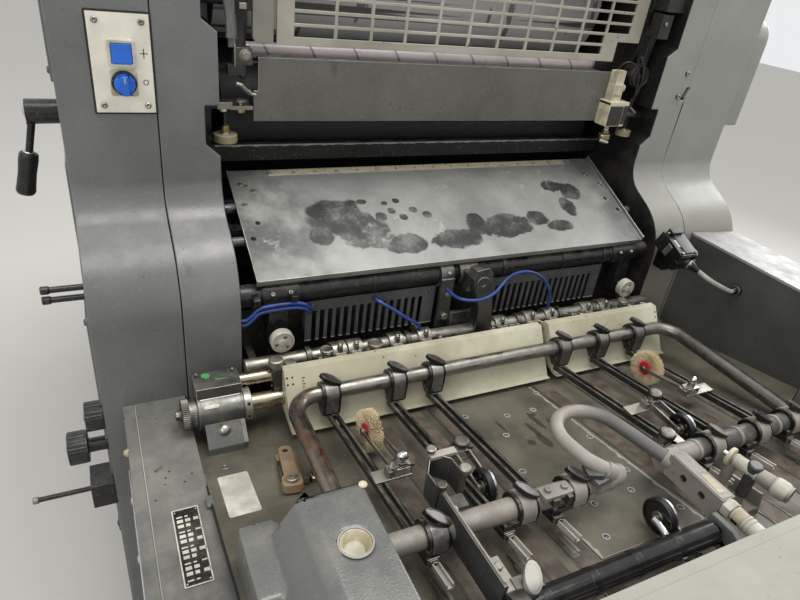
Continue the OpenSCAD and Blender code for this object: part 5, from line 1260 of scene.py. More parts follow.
# Brush wheels with a red toothed hub, rubber wheels with a bright rim
def wheels():
    for name in ("brush_wheel_left", "brush_wheel_right"):
        at = wheel_axis(*WHEELS[name])
        points = []
        facing = []
        for row in range(9):
            x = -5.2 + 1.3 * row
            for k in range(88):
                a = tau * (k + 0.5 * (row % 2)) / 88
                out = Vector((x * 0.018, cos(a), sin(a))).normalized()
                points.append(tuple(at + Vector((x, 0, 0)) + out * 11.5))
                facing.append(tuple(out))
        BRISTLES.bake(name + "_bristles", points, facing,
                      [1.0] * len(points), name, "brush_bristle", Length=0.019, Thickness=0.00075, Lean=0.05,
                      Finish=MATERIALS["bristle"], Seed=3)
        hub = Part(name + "_hub", "brush_bristle", name)
        hub.lathe("red_plastic", at - Vector((6, 0, 0)), TO_RIGHT,
                  [(4.1, -0.6), (11, -0.9), (14.6, -0.2), (15.4, 2), (15.4, 10), (14.6, 12.2), (11, 12.9),
                   (4.1, 12.6)], 40,
                  closed=True)
        for k in range(36):
            a = tau * k / 36
            out = Vector((0, cos(a), sin(a)))
            side = Vector((0, -sin(a), cos(a)))
            corners = []
            for reach, wide in ((13.6, 0.95), (22.0, 0.4)):
                for x in (-6.95, 6.95):
                    corners += [at + out * reach + side * wide + Vector((x, 0, 0)),
                                at + out * reach - side * wide + Vector((x, 0, 0))]
            hub.rings("red_plastic", [[corners[0], corners[1], corners[3], corners[2]],
                                      [corners[4], corners[5], corners[7], corners[6]]])
        hub.finish(0, [name])
    for name in ("rubber_wheel_a", "rubber_wheel_b", "rubber_wheel_c"):
        at = wheel_axis(*WHEELS[name])
        wheel = Part(name + "_body", "rubber_black", name)
        start = at - Vector((6, 0, 0))
        wheel.lathe("rubber_black", start, TO_RIGHT, [(20, 0.3), (22, 0.2), (23, 1.4), (23, 8), (22.4, 8.6),
                                                      (20, 8.6)],
                    56, closed=True)
        wheel.lathe("chrome", start, TO_RIGHT, [(19.4, 8.7), (22.6, 8.7), (22.9, 9.4), (22.6, 11.6),
                                                (20.4, 12),
                                                 (19.4, 11)], 56, closed=True)
        wheel.lathe("tool_black", start, TO_RIGHT, [(4.1, 2.4), (19.8, 2.4), (19.8, 9), (4.1, 9)], 56,
                    closed=True)
        wheel.lathe("steel", start, TO_RIGHT, [(4.1, 0.4), (7.6, 0.4), (8, 1), (8, 11), (7.4, 11.6),
                                               (4.1, 11.6)], 28,
                    closed=True)
        for k in range(0 if name == "rubber_wheel_c" else 6):
            a = tau * k / 6
            hole = at + Vector((-4.0, 13.5 * cos(a), 13.5 * sin(a)))
            wheel.lathe("steel_dark", hole, TO_LEFT, [(2.7, 0), (2.7, 1.2), (2, 1.6)], 12)
        wheel.finish(0.3, [name])


# Knobs, screws and blocks on the wheel holders
def holder_details():
    knobs = Part("holder_knobs", "dusty_steel")
    bolts = []
    for (x, y, radius), reach, size in zip(list(WHEELS.values())[:4], (-98, -88, 64, 62), (16, 12, 16, 16)):
        seat_y = y + reach
        z = max(rail_top(seat_y - 10), rail_top(seat_y + 10)) + 3.3
        r = size / 2
        if y > -400:
            ball = [(r * sin(a), r - r * cos(a)) for a in [pi * k / 10 for k in range(1, 10)]]
            knobs.lathe("chrome", (x, seat_y, z + 12), TO_TOP, [(4, 0), (4, 7)] + [(p, q + 6) for p,
                                                                                   q in ball], 28)
        else:
            knobs.lathe("steel_dark", (x, seat_y, z + 12), TO_TOP,
                        [(5, 0), (5, 5), (r + 2, 6), (r + 3, 8), (r + 3, 12), (r + 1, 14), (5, 14.4)], 28)
        w = 10 if y > -400 else 9
        knobs.box("chrome", (x - w - 0.6, seat_y - 8.6, z + 1), (x + w + 0.6, seat_y - 4, z + 12.6))
        knobs.box("steel", (x - w - 9, seat_y - 7, z + 0.2), (x - w + 1, seat_y + 7, z + 9))
        bolts += [(x - w - 4, seat_y, z + 9), (x + w - 3, seat_y + 4, z + 12.2)]
        axis = wheel_axis(x, y, radius)
        knobs.lathe("steel", axis + Vector((w + 0.4, 0, 0)), TO_RIGHT, [(6.4, 0), (6.4, 2), (5, 3), (2, 3.2)],
                    20)
        knobs.lathe("chrome", axis - Vector((w + 0.4, 0, 0)), TO_LEFT,
                    [(5.4, 0), (5.4, 1.6), (3.6, 2.4), (1.6, 2.6)],
                    20)
    x, y, radius = WHEELS["rubber_wheel_c"]
    axis = wheel_axis(x, y, radius)
    arm = [(-42, -608, 944.7), (-42.5, -617, 945.4), (-43, -627, 943.4), (-42, -637, 938.6),
           (-41, -648, 934.6),
           (-40, -662, 932.6), (-40, -680, 932.8), (-40, -700, 935)]
    knobs.tube("chrome", [p * 1.0 for p in smooth_path(arm, 3)], 4.2, 12, 0.75)
    knobs.lathe("steel", axis + Vector((12, 0, 0)), TO_RIGHT, [(7, 0), (7, 2.4), (5, 3), (2, 3.2)], 20)
    knobs.lathe("steel_dark", (90, -502, rail_top(-512) + 16), TO_TOP,
                [(5, -12), (5, -2), (11, -1), (12, 1), (12, 5), (10, 7), (5, 7.4)], 28)
    knobs.finish(0.4)
    screws("holder_screws", "socket", "steel", "plate_steel", 3.2, bolts)


# Side plates, straps, bolts and levers of the clamps on the tube and on the cross bar
def clamp_details():
    straps = Part("clamp_straps", "dusty_steel")
    plates = Part("clamp_side_plates", "black_iron")
    levers = Part("clamp_levers", "black_iron")
    bolts = []
    for row, (xs, y, z, d) in enumerate(((TUBE_CLAMPS, -239, 915, 24), (BAR_CLAMPS, -540, 950, 27))):
        arch = d / 2 + 5
        for k, x in enumerate(xs):
            low = rail_top(y - arch / 2) + 1
            outer = []
            for step in range(13):
                a = pi * step / 12
                outer.append((y + (arch + 0.7) * cos(a), z + (arch + 0.7) * sin(a)))
            outer += [(y - arch, (z + low) / 2), (y - arch + 0.4, low + 2), (y - arch + 3, low), (y - 4, low),
                      (y - 1, low + 2), (y + arch - 5, (z + low) / 2)]
            inner = [(y + (v - y) * 0.72, z + (h - z) * 0.72) for v, h in outer[:13]]
            inner += [(y - arch + 4, (z + low) / 2), (y - arch + 4, low + 6), (y - arch + 5, low + 5),
                      (y - 6, low + 5),
                      (y - 5, low + 6), (y + arch - 9, (z + low) / 2)]
            for side in (-1, 1):
                face = x + side * 12
                plates.frame("clamp_iron", outer, inner, min(face, face + side * 1.6),
                             max(face, face + side * 1.6))
            middle = (z - arch - 4 + low) / 2 + 4
            for lift in (6, -6):
                plates.prism("bare_edge", [(y - arch + 5, middle + lift - 4), (y - 8, middle + lift - 4),
                                           (y - 8, middle + lift + 4)], x - 12.6, x - 12.1)
                # Openings drawn as triangles of painted shade
                plates.prism("hole_and_gap_shade", [(y - arch + 6.4, middle + lift - 3.2),
                                           (y - 8.8, middle + lift - 3.2),
                                           (y - 8.8, middle + lift + 2.4)], x - 12.9, x - 12.5)
            outer = [(y + (arch + 1.4) * cos(a), z + (arch + 1.4) * sin(a))
                     for a in [radians(30 + 12.5 * step) for step in range(13)]] + [(y - arch - 1.4, low + 5)]
            inner = [(y + (arch - 0.4) * cos(a), z + (arch - 0.4) * sin(a))
                     for a in [radians(30 + 12.5 * step) for step in range(13)]] + [(y - arch + 0.4, low + 4)]
            straps.prism("steel_dusty" if row and k != 0 else "strap_grey", outer + inner[::-1], x - 9.4,
                         x + 9.8)
            bolts.append((x + 5.5, y + 4, z + arch + 0.8, (0, 0.12, 1), 4.6 if row else 3.6))
            place = (Matrix.Translation((x, y, z + d / 2 + (9 if row else 8)))
                     @ Matrix.Rotation(radians(60 if row else 65), 4, "Z")
                     @ Matrix.Rotation(radians(25 if row else 22), 4, "X"))
            leaf = []
            for step in range(24):
                a = tau * step / 24
                leaf.append((7.6 * sin(a), 18 * cos(a) * (1 - 0.12 * abs(sin(a)))))
            rings = [[(u * s, v * s, h) for u, v in leaf]
                     for h, s in ((-0.4, 0.92), (0.4, 1.0), (6.0, 1.0), (6.8, 0.94), (6.8, 0.84),
                                  (6.2, 0.76))]
            levers.at(place).rings("iron_worn" if k % 2 else "tool_black", rings).at(Matrix())
    straps.finish(0.4)
    plates.finish(0.3)
    levers.finish(0.5)
    screws("clamp_bolts", "socket", "steel", "plate_steel", 3.6, bolts)
    tips = Part("rail_tips", "plate_steel")
    for x in RAIL_XS:
        tips.at(on_board(x, -250))
        tips.box("bare_edge", (-5.3, -359, 1.6), (5.3, -340, 2.8))
        for low, high in ((-5.2, -1.2), (1.2, 5.2)):
            tips.prism("bare_edge", [(low, -358.6), (high, -358.6), (high, -324), (low, -324)], 8, 9.2, "z")
        tips.at(Matrix())
    tips.finish(0.2)


# Cross bar's open end, couplings, pipe foot
def bar_details():
    end = Part("bar_open_end", "dusty_steel")
    rings = []
    for r, x in ((13.5, -54.5), (13.5, -40), (10.2, -40), (9.6, -53)):
        slant = 0.42 if x > -45 else 0
        rings.append([(x + slant * r * sin(a), -540 + r * cos(a), 950 + r * sin(a))
                      for a in [tau * k / 36 for k in range(36)]])
    end.rings("steel_dusty", rings, closed=True)
    # Hollow of the bar drawn as a disc of painted shade
    end.lathe("hole_and_gap_shade", (-54.2, -540, 950), TO_RIGHT, [(10, 0), (9.8, 0.9)], 36)
    end.lathe("steel_dusty", (-79, -540, 950), TO_RIGHT, [(15.6, 0), (16.6, 1), (16.6, 5), (15.6, 6)], 40)
    end.finish(0.4)
    foot = Part("pipe_foot", "dusty_steel")
    foot.prism("casting_grey", [(-94, -560), (-66, -556), (-62, -532), (-80, -524), (-96, -534)], 961, 971,
               "z")
    foot.prism("guide_grey", [(-103, -548), (-84, -556), (-66, -545), (-72, -532), (-98, -530)], 971, 978,
               "z")
    foot.finish(1.4)
    bits = Part("cross_bar_fittings", "dusty_steel")
    bits.prism("steel_dusty", rounded((-170, -556), (-128, -538), 3), 962, 969, "z")
    bits.box("steel_dark", (-160, -560, 957), (-150, -536, 966))
    bits.box("steel_dark", (-140, -562, 955), (-133, -536, 968))
    for x in (60, 96, 180, 262):
        bits.lathe("steel_dusty", (x, -540, 950), TO_RIGHT, [(14.2, 0), (15, 0.8), (15, 5.2), (14.2, 6)], 36)
    bits.finish(0.6)
    screws("bar_fitting_screws", "socket", "steel_dusty", "dusty_steel", 4.4,
           [(-160, -545, 969), (-137, -547, 969), (-58, -534, 965, (0.3, 0.1, 1))])


# Air valve with its fittings, second fitting on its post
def valve_details():
    valve = Part("valve_details", "plate_steel")
    top = rounded((18.4, -638.6), (37.6, -562.4), 2)
    valve.prism("steel_dusty", top, 986.6, 988.2, "z")
    valve.prism("plastic_cream", [(22, -630), (33, -632), (35, -604), (25, -600)], 987.8, 988.6, "z")
    for y in (-588, -616):
        valve.lathe("steel_dark", (17.1, y, 972), TO_LEFT, [(4.6, 0), (4.6, 0.9), (3.2, 0.9), (3, 0.2)], 20)
        # Ports drawn as discs of painted shade
        valve.lathe("hole_and_gap_shade", (17, y, 972), TO_LEFT, [(3, 0), (3, 0.5)], 16)
    valve.lathe("plastic_white", (28, -640, 977), TO_FRONT,
                [(10, 0), (11.4, 1), (11.4, 11), (10.4, 12)], 24, hexes=(0, 1, 2, 3))
    valve.lathe("plastic_cream", (28, -652, 977), TO_FRONT, [(8.8, 0), (9.8, 1), (9.8, 14), (8.8, 15)], 28)
    # Slot drawn as painted shade
    valve.box("hole_and_gap_shade", (17.8, -664, 972), (18.6, -656, 976))
    valve.lathe("plastic_white", (28, -667, 977), TO_FRONT,
                [(10.4, 0), (10.8, 1), (10.8, 3), (9.6, 4), (10.8, 5), (10.8, 8), (9.6, 9), (10.4, 10),
                 (10.4, 22),
                 (9, 24)], 28)
    valve.finish(0.4)
    second = Part("second_fitting", "plate_steel")
    axis = Vector((sin(radians(12)), -cos(radians(12)), 0))
    start = Vector((102, -588, 980))
    thread = [(9.2, 0), (9.2, 2)]
    for k in range(11):
        thread += [(8.2, 2.6 + 2.4 * k), (9.2, 3.8 + 2.4 * k)]
    second.lathe("plastic_cream", start - axis * 6, axis, [(8, 0), (12.6, 0.8), (13.2, 3), (13.2, 6),
                                                           (9, 7.4), (8.6, 4)],
                 32, closed=True)
    second.lathe("plastic_white", start + axis * 4, axis, thread + [(9.2, 30)], 28)
    second.lathe("steel_dusty", start + axis * 34, axis, [(8.6, 0), (9.6, 2), (10.6, 16), (9.6, 18)], 28)
    second.lathe("plastic_white", start + axis * 52, axis,
                 [(9, 0), (12, 2), (12.8, 6), (12.8, 15), (11, 19), (6, 21.6)], 32)
    second.lathe("chrome", start - axis * 6, -axis, [(3.4, 0), (3.4, 6), (2.4, 7)], 16)
    second.lathe("guide_grey", (107, -615, 940), TO_TOP, [(7.6, 0), (7.6, 40), (9.2, 42), (9.2, 50),
                                                          (7.6, 52)], 24)
    second.at(on_board(107, -615))
    second.prism("steel_dusty", rounded((-22, -22), (22, 22), 3), 9.4, 12, "z")
    second.box("steel_dusty", (14, -22, 12), (18, 22, 32))
    second.at(Matrix())
    second.finish(0.4)
    screws("pad_screws", "ring", "steel", "plate_steel", 4,
           [tuple(on_board(107, -615) @ Vector((u, v, 12))) for u, v in ((-14, -14), (-14, 14), (6, 14))],
           BOARD_UP)


# Castings: pocket liner, roller boss, guide screws, roller lever
def casting_details():
    cast = Part("casting_pocket_liner", "painted_dark")
    cast.lathe("plastic_cream", (-407.8, -556.5, 985), TO_TOP,
               [(16.2, 0), (16.2, 14), (15.4, 15), (14, 13.4), (11, 2.4), (10.4, 2.2), (10.4, 0)], 48,
               closed=True)
    cast.lathe("plastic_white", (-407.8, -556.5, 985), TO_TOP, [(10.6, 0), (10.4, 2.6)], 36)
    cast.lathe("pale_edge_wear_and_highlight", (-407.8, -556.5, 999.4), TO_TOP, [(16.2, 0), (18.4, 0), (18.2, 1.0), (16.4, 1.0)],
               48,
               closed=True)
    cast.finish(0.3)
    boss = Part("roller_boss", "painted_dark")
    boss.lathe("casting_grey", (-376, -655, 960), TO_RIGHT,
               [(21, 0), (21, 38), (19.8, 40), (16.4, 40), (15.6, 30), (15.4, 28)], 44)
    boss.lathe("plastic_cream", (-347, -655, 960), TO_RIGHT, [(15.2, 0), (14.8, 1.2)], 40)
    boss.lathe("steel", (-346, -655, 960), TO_RIGHT, [(9.6, 0), (9.6, 9), (8, 11), (6.2, 11.4)], 28)
    boss.finish(0.5)
    screws("casting_dots", "rivet", "plastic_cream", "cream_plastic", 5.2,
           [(-374.6, -492, 1000), (466, -600, 1000)])
    screws("guide_screws", "dome", "plastic_cream", "cream_plastic", 4.6,
           [(-281, -536, 973), (-281, -546, 962), (-281, -618, 970)], TO_RIGHT)
    guide = Part("sheet_guide_details", "painted_dark")
    guide.tube("steel", [(-283.5, -514, 978.4), (-283.5, -636, 982.2)], 1.5, 8)
    guide.lathe("steel_dark", (-284, -508, 936), TO_TOP, [(3.6, 0), (3.6, 42), (6, 43), (6, 49), (4, 50)], 20)
    guide.lathe("steel", (-246, -495, 936), TO_TOP, [(3.6, 0), (3.6, 42), (7, 43), (7.6, 45), (7.6, 50),
                                                     (6, 52)], 24)
    guide.lathe("steel", (-268, -452, 974), TO_TOP, [(4.5, 0), (4.5, 4), (6.5, 5), (6.5, 9), (5, 10)], 20)
    guide.box("steel_dusty", (-272, -462, 972), (-236, -452, 977))
    guide.finish(0.4)
    lever = Part("roller_clamp", "plate_steel")
    lever.lathe("iron_black", (-285, -655, 960), TO_RIGHT, [(14.4, 0), (18.4, 1), (18.4, 19), (14.4, 20)], 36)
    lever.box("steel_dusty", (-284, -645, 962), (-266, -600, 970))
    lever.lathe("steel", (-274, -613, 970), TO_TOP, [(5, 0), (5, 4), (4, 5)], 18, hexes=(0, 1, 2))
    turn = Matrix.Translation((-252, -640, 972)) @ Matrix.Rotation(radians(58), 4, "Z")
    leaf = [(20 * cos(tau * k / 24), 9 * sin(tau * k / 24)) for k in range(24)]
    lever.at(turn).rings("iron_worn", [[(u * s, v * s, h) for u, v in leaf]
                                       for h, s in ((0, 0.94), (1, 1), (9, 1), (10, 0.95), (10, 0.8),
                                                    (9.2, 0.76))])
    lever.at(Matrix())
    lever.box("steel_dark", (-270, -655, 956), (-240, -628, 972))
    lever.finish(0.5)
    roller = Part("roller_rings", "rubber_black", "forwarding_roller")
    for x in (-250, -190, -130, -70):
        roller.lathe("plastic_black", (x, -655, 960), TO_RIGHT, [(13.9, 0), (14.5, 0.8), (14.5, 9.2),
                                                                 (13.9, 10)], 40)
    roller.finish(0.3)


# Left cover box, feed board and right wall
def table_details():
    strip = Part("left_cover_trim", "painted_dark")
    # Pale strip along the lid's inner edge: a painted highlight
    strip.box("pale_edge_wear_and_highlight", (-582.2, -688, 861.6), (-580.6, -125, 863.0))
    strip.prism("side_box", [(-597.4, 856), (-597.4, 863.2), (-582.6, 863.2), (-582.6, 861)], -689, -124, "y")
    strip.box("chrome", (-599.6, -520, 846), (-597, -250, 858))
    for y in (-300, -390, -480):
        strip.lathe("steel", (-599.4, y, 852), TO_LEFT, [(5, 0), (4.6, 1.6), (2.6, 2.2)], 18)
    strip.lathe("plastic_cream", (-597, -218, 858), (-1, 0, 0.3), [(5.4, 0), (5.4, 3), (3.6, 3.6), (3.4, 6)],
                20)
    strip.finish(0.5)
    plate = Part("bare_nameplate", "plate_steel")
    plate.prism("tool_black", rounded((-558, -454), (-526, -342), 1.5), 861.8, 863.0, "z")
    plate.frame("paper_white", rounded((-558, -454), (-526, -342), 1.5),
                rounded((-556.4, -452.4), (-527.6, -343.6), 1),
                862.6, 863.3, "z")
    for row in range(13):
        for column, wide in enumerate((7, 4 + row % 3, 9 - row % 4)[: 2 + row % 2]):
            x, y = -553.5 + 9.5 * column, -447 + 7.6 * row
            plate.box("paper_white", (x, y, 862.8), (x + wide, y + (4.6 if row % 3 else 2), 863.3))
    plate.finish(0.1)
    screws("nameplate_rivets", "rivet", "steel", "plate_steel", 1.5,
           [(x, y, 863.2) for x in (-554.5, -529.5) for y in (-449.5, -346.5)])
    gap = Part("board_joint", "rubber_black")
    # Gap at the board's joint filled with painted shade
    gap.prism("hole_and_gap_shade", [(-140, board_top(-140) + 0.6), (-688, board_top(-688) + 0.6),
                            (-688, board_top(-688) - 6),
                            (-140, board_top(-140) - 6)], -511.2, -509.2)
    gap.finish(0)
    bracket = Part("board_side_catch", "painted_dark")
    for y in (-300, -345, -560):
        bracket.box("casting_grey", (-516, y - 9, board_top(y) - 4), (-507, y + 9, board_top(y) + 1.6))
    bracket.finish(0.8)
    label = Part("bare_sticker", "cream_plastic").at(on_board(-475, -344))
    label.prism("paper_white", rounded((-20, -42), (20, 42), 3), 0.05, 0.8, "z")
    label.finish(0.2)
    catch = Part("brass_catch", "plate_steel").at(on_board(-404, -330) @ Matrix.Rotation(radians(-8), 4, "Z"))
    catch.box("brass_tan", (-14, -38, 0), (14, 42, 5))
    catch.prism("brass_tan", rounded((-10, -30), (9, 48), 8, 6), 5, 13, "z")
    # Hole drawn as painted shade
    catch.lathe("hole_and_gap_shade", (-1, 36, 13), TO_TOP, [(4, 0), (3.6, 0.4)], 16)
    catch.box("steel_dark", (-14.6, -20, 4), (-11, 20, 10))
    catch.prism("brass_tan", rounded((-14, -46), (12, -22), 6, 5), 4, 16, "z")
    catch.lathe("steel", (-1, -34, 16), TO_TOP, [(8.4, 0), (8.4, 4), (7.4, 5), (4.6, 5), (4.2, 1)], 24,
                hexes=(3, 4))
    catch.box("steel", (10, -30, 3), (22, -20, 12))
    catch.at(Matrix())
    catch.tube("steel", [(-375, -352, board_top(-352)), (-375, -352, 898), (-378, -349, 915)], 6.5, 16)
    catch.lathe("steel", (-375, -352, board_top(-352)), TO_TOP, [(9, 0), (9, 8), (7.4, 10)], 24)
    catch.finish(0.7)
    screws("board_screw_rings", "ring", "steel", "plate_steel", 5.6,
           [(-480.5, -283.7, 856.2), (478, -300, board_top(-300)), (478, -560, board_top(-560))], BOARD_UP)
    screws("board_screws", "dome", "steel_dark", "plate_steel", 3,
           [(-480.5, -283.7, 856.4), (478, -300, board_top(-300)), (478, -560, board_top(-560))], BOARD_UP)
    rivets = [(-43.3, -322.5), (7.7, -323.4), (-77.2, -367.7), (47.4, -280.1), (31.3, -502.9), (4.6, -538.3),
              (-62, -540.4), (-90.6, -591.8), (-108, -300), (40, -420), (38, -590), (-108, -450), (36, -350)]
    spots = [(x, y, board_top(y) + 2.0) for x, y in rivets]
    screws("plate_rivet_rings", "ring", "pale_edge_wear_and_highlight", "plate_steel", 5.6, spots, BOARD_UP)
    screws("plate_rivets", "rivet", "steel_dark", "plate_steel", 2.8, spots, BOARD_UP)
    edges = Part("centre_plate_edges", "plate_steel").at(on_board(0, -258))
    for side, x in ((-1, -120), (1, 50)):
        line = []
        for k in range(62):
            ragged = 2.2 + 2.4 * abs(sin(k * 2.13 + side) * cos(k * 0.77)) + (3 if k % 11 == 4 else 0)
            line.append((x - side * ragged, -2 - 362 * k / 61))
        edges.prism("pale_edge_wear_and_highlight", [(x + side * 0.3, -2)] + line + [(x + side * 0.3, -364)], 1.6, 2.25, "z")
    edges.finish(0)
    lines = Part("tape_edge_strips", "plate_steel").at(on_board(0, -258))
    for x in (-277, -243, -180, -138, 72, 143, 175, 232, 262, 319):
        lines.box("bare_edge", (x - 14.2, -418, 0), (x - 13.4, -1, 1.5))
    lines.finish(0)
    wall = Part("right_wall_trim", "painted_dark")
    wall.box("pale_edge_wear_and_highlight", (509.4, -700, 1046), (511.2, -126, 1051.2))
    wall.finish(0.4)
    patch = Part("left_board_patch", "painted_dark")
    patch.prism("casting_grey", [(-500, -470), (-440, -462), (-424, -486), (-440, -560), (-500, -560)],
                board_top(-470) - 4, board_top(-470) + 4, "z")
    patch.finish(2)


# Plug beside the right column
def plug_details():
    place = Matrix.Translation((400, -126, 1040)) @ Matrix.Rotation(radians(24.5), 4, "X")
    plug = Part("plug_details", "black_plastic").at(place)
    plug.prism("plastic_black", rounded((-1, -66), (45, -4), 4), 30, 36, "z")
    plug.box("plastic_white", (6, -44, 35.5), (26, -26, 36.6))
    plug.box("plastic_black", (8, -16, 34), (36, -2, 44))
    plug.box("steel", (-2.4, -40, 6), (0.2, -28, 30))
    plug.box("steel", (43.8, -40, 6), (46.4, -28, 30))
    plug.box("plastic_black", (-4, -70, -2), (48, -62, 20))
    plug.at(Matrix())
    start = Vector((434, -207, 1021))
    along = (Vector((442, -219, 1015)) - start).normalized()
    plug.lathe("plastic_black", start - along * 26, along,
               [(9.4, 0), (9.4, 12), (8.6, 13), (8.6, 16), (9.2, 17), (9.2, 22), (6.2, 30), (5.2, 38)], 24)
    plug.lathe("steel", start - along * 12, along, [(9.8, 0), (9.8, 5)], 20, hexes=(0, 1))
    plug.finish(0.6)
    screws("plug_screws", "socket", "steel", "plate_steel", 2.8,
           [tuple(place @ Vector((u, v, 36))) for u, v in ((5, -60), (39, -60), (5, -9), (39, -9))],
           INFEED_UP)
    gland = Part("wall_gland", "black_plastic")
    gland.lathe("plastic_black", (509.6, -262, 990), TO_LEFT, [(12, 0), (12, 3), (9, 4), (7.4, 11), (6, 13)],
                24,
                hexes=(0, 1))
    gland.finish(0.3)


wheels()
holder_details()
clamp_details()
bar_details()
valve_details()
casting_details()
table_details()
plug_details()


# Sides away from the photograph's view, finished as such presses are
def vent(part, look, x, y, z, across, count, side):
    """Row of pressed louvres on a face square to X"""
    for k in range(count):
        low = z - k * 14
        outline = [(x, low), (x + side * 4.5, low - 2), (x + side * 4.5, low - 4), (x, low - 8)]
        part.prism(look, outline, y, y + across, "y")
    return part


def cover_panels():
    left = Part("left_side_panels", "painted_dark")
    for low, high in (((-105, 135), (300, 1010)), ((320, 135), (755, 1010)), ((30, 1040), (380, 1180)),
                      ((30, 1290), (755, 1535)), ((400, 1040), (755, 1270))):
        left.prism("column_left", rounded(low, high, 10), -628, -623.5)
    left.prism("column_left", rounded((-560, 140), (-140, 640), 10), -600.5, -596.5)
    vent(left, "column_left", -628, 460, 300, 160, 9, -1)
    for y, z in ((-70, 560), (290, 560)):
        left.lathe("plastic_black", (-628, y, z), TO_LEFT, [(14, 0), (14, 2), (12, 3), (5, 3), (4, 5)], 28)
    left.finish(1.5)
    right = Part("right_side_panels", "painted_light")
    for low, high in (((-105, 135), (300, 1010)), ((320, 135), (755, 1010)), ((300, 1040), (755, 1535)),
                      ((20, 1470), (280, 1540))):
        right.prism("column_right", rounded(low, high, 10), 653.5, 658)
    right.prism("side_box", rounded((-680, 140), (-150, 990), 10), 643.5, 648)
    vent(right, "column_right", 658, 460, 300, 160, 9, 1)
    vent(right, "side_box", 648, -520, 400, 200, 8, 1)
    for y, z in ((-70, 560), (290, 560)):
        right.lathe("plastic_black", (658, y, z), TO_RIGHT, [(14, 0), (14, 2), (12, 3), (5, 3), (4, 5)], 28)
    right.prism("column_right", rounded((22, 1250), (252, 1436), 22), 698.5, 700.5)
    right.finish(1.5)
    spots = [(-628, y, z) for low, high in (((-105, 135), (300, 1010)), ((320, 135), (755, 1010)),
                                            ((30, 1290), (755, 1535)))
             for y in (low[0] + 14, high[0] - 14) for z in (low[1] + 14, high[1] - 14)]
    screws("left_panel_screws", "dome", "steel_dark", "plate_steel", 5, spots, TO_LEFT)
    spots = [(658, y, z) for low, high in (((-105, 135), (300, 1010)), ((320, 135), (755, 1010)),
                                           ((300, 1040), (755, 1535)))
             for y in (low[0] + 14, high[0] - 14) for z in (low[1] + 14, high[1] - 14)]
    spots += [(700.5, y, z) for y in (36, 238) for z in (1262, 1400)]
    screws("right_panel_screws", "dome", "steel_dark", "plate_steel", 5, spots, TO_RIGHT)


def crank_details():
    grip = Part("crank_grip_rings", "black_plastic", "crank_handle")
    axis = (Vector((-690, 100, 1106)) - Vector((-674, 100, 1176))).normalized()
    start = Vector((-674, 100, 1176))
    profile = [(11.5, 0), (12.6, 2), (13.2, 10), (12.2, 30), (12.8, 50), (13.4, 58), (11, 62.6), (6, 63)]
    grip.lathe("plastic_black", start, axis, profile, 28)
    grip.lathe("chrome", (-667, 100, 1236), TO_LEFT, [(11, 0), (11, 2), (9, 4), (4, 5)], 28)
    grip.lathe("chrome", start - axis * 3, axis, [(7, 0), (8, 1), (8, 3)], 20)
    grip.finish(0.5)
    knobs = Part("side_knob_rims", "black_plastic")
    for x, z, r, wide in ((-650, 836, 22.6, 24), (-680, 780, 25.6, 26)):
        rings = []
        for shift, drop in ((0, 1.2), (1.2, 0), (wide - 1.2, 0), (wide, 1.2)):
            reach = [r - drop - 1.1 * (k % 2) for k in range(60)]
            rings.append([(x + shift, -100 + reach[k] * cos(pi * k / 30),
                           z + reach[k] * sin(pi * k / 30)) for k in range(60)])
        knobs.rings("tool_black", rings)
        knobs.lathe("steel", (x + 0.2, -100, z), TO_LEFT, [(6, 0), (6, 2), (4, 3)], 20)
    for z in (1014, 1030):
        knobs.lathe("tool_black", (-680, -50, z), TO_RIGHT, [(4, 0), (6, 1), (6, 10), (4.6, 12)], 20)
    knobs.lathe("steel", (-742, -100, 689), TO_RIGHT, [(3, 0), (5.4, 1), (5.4, 8), (4, 9)], 18)
    knobs.finish(0.4)


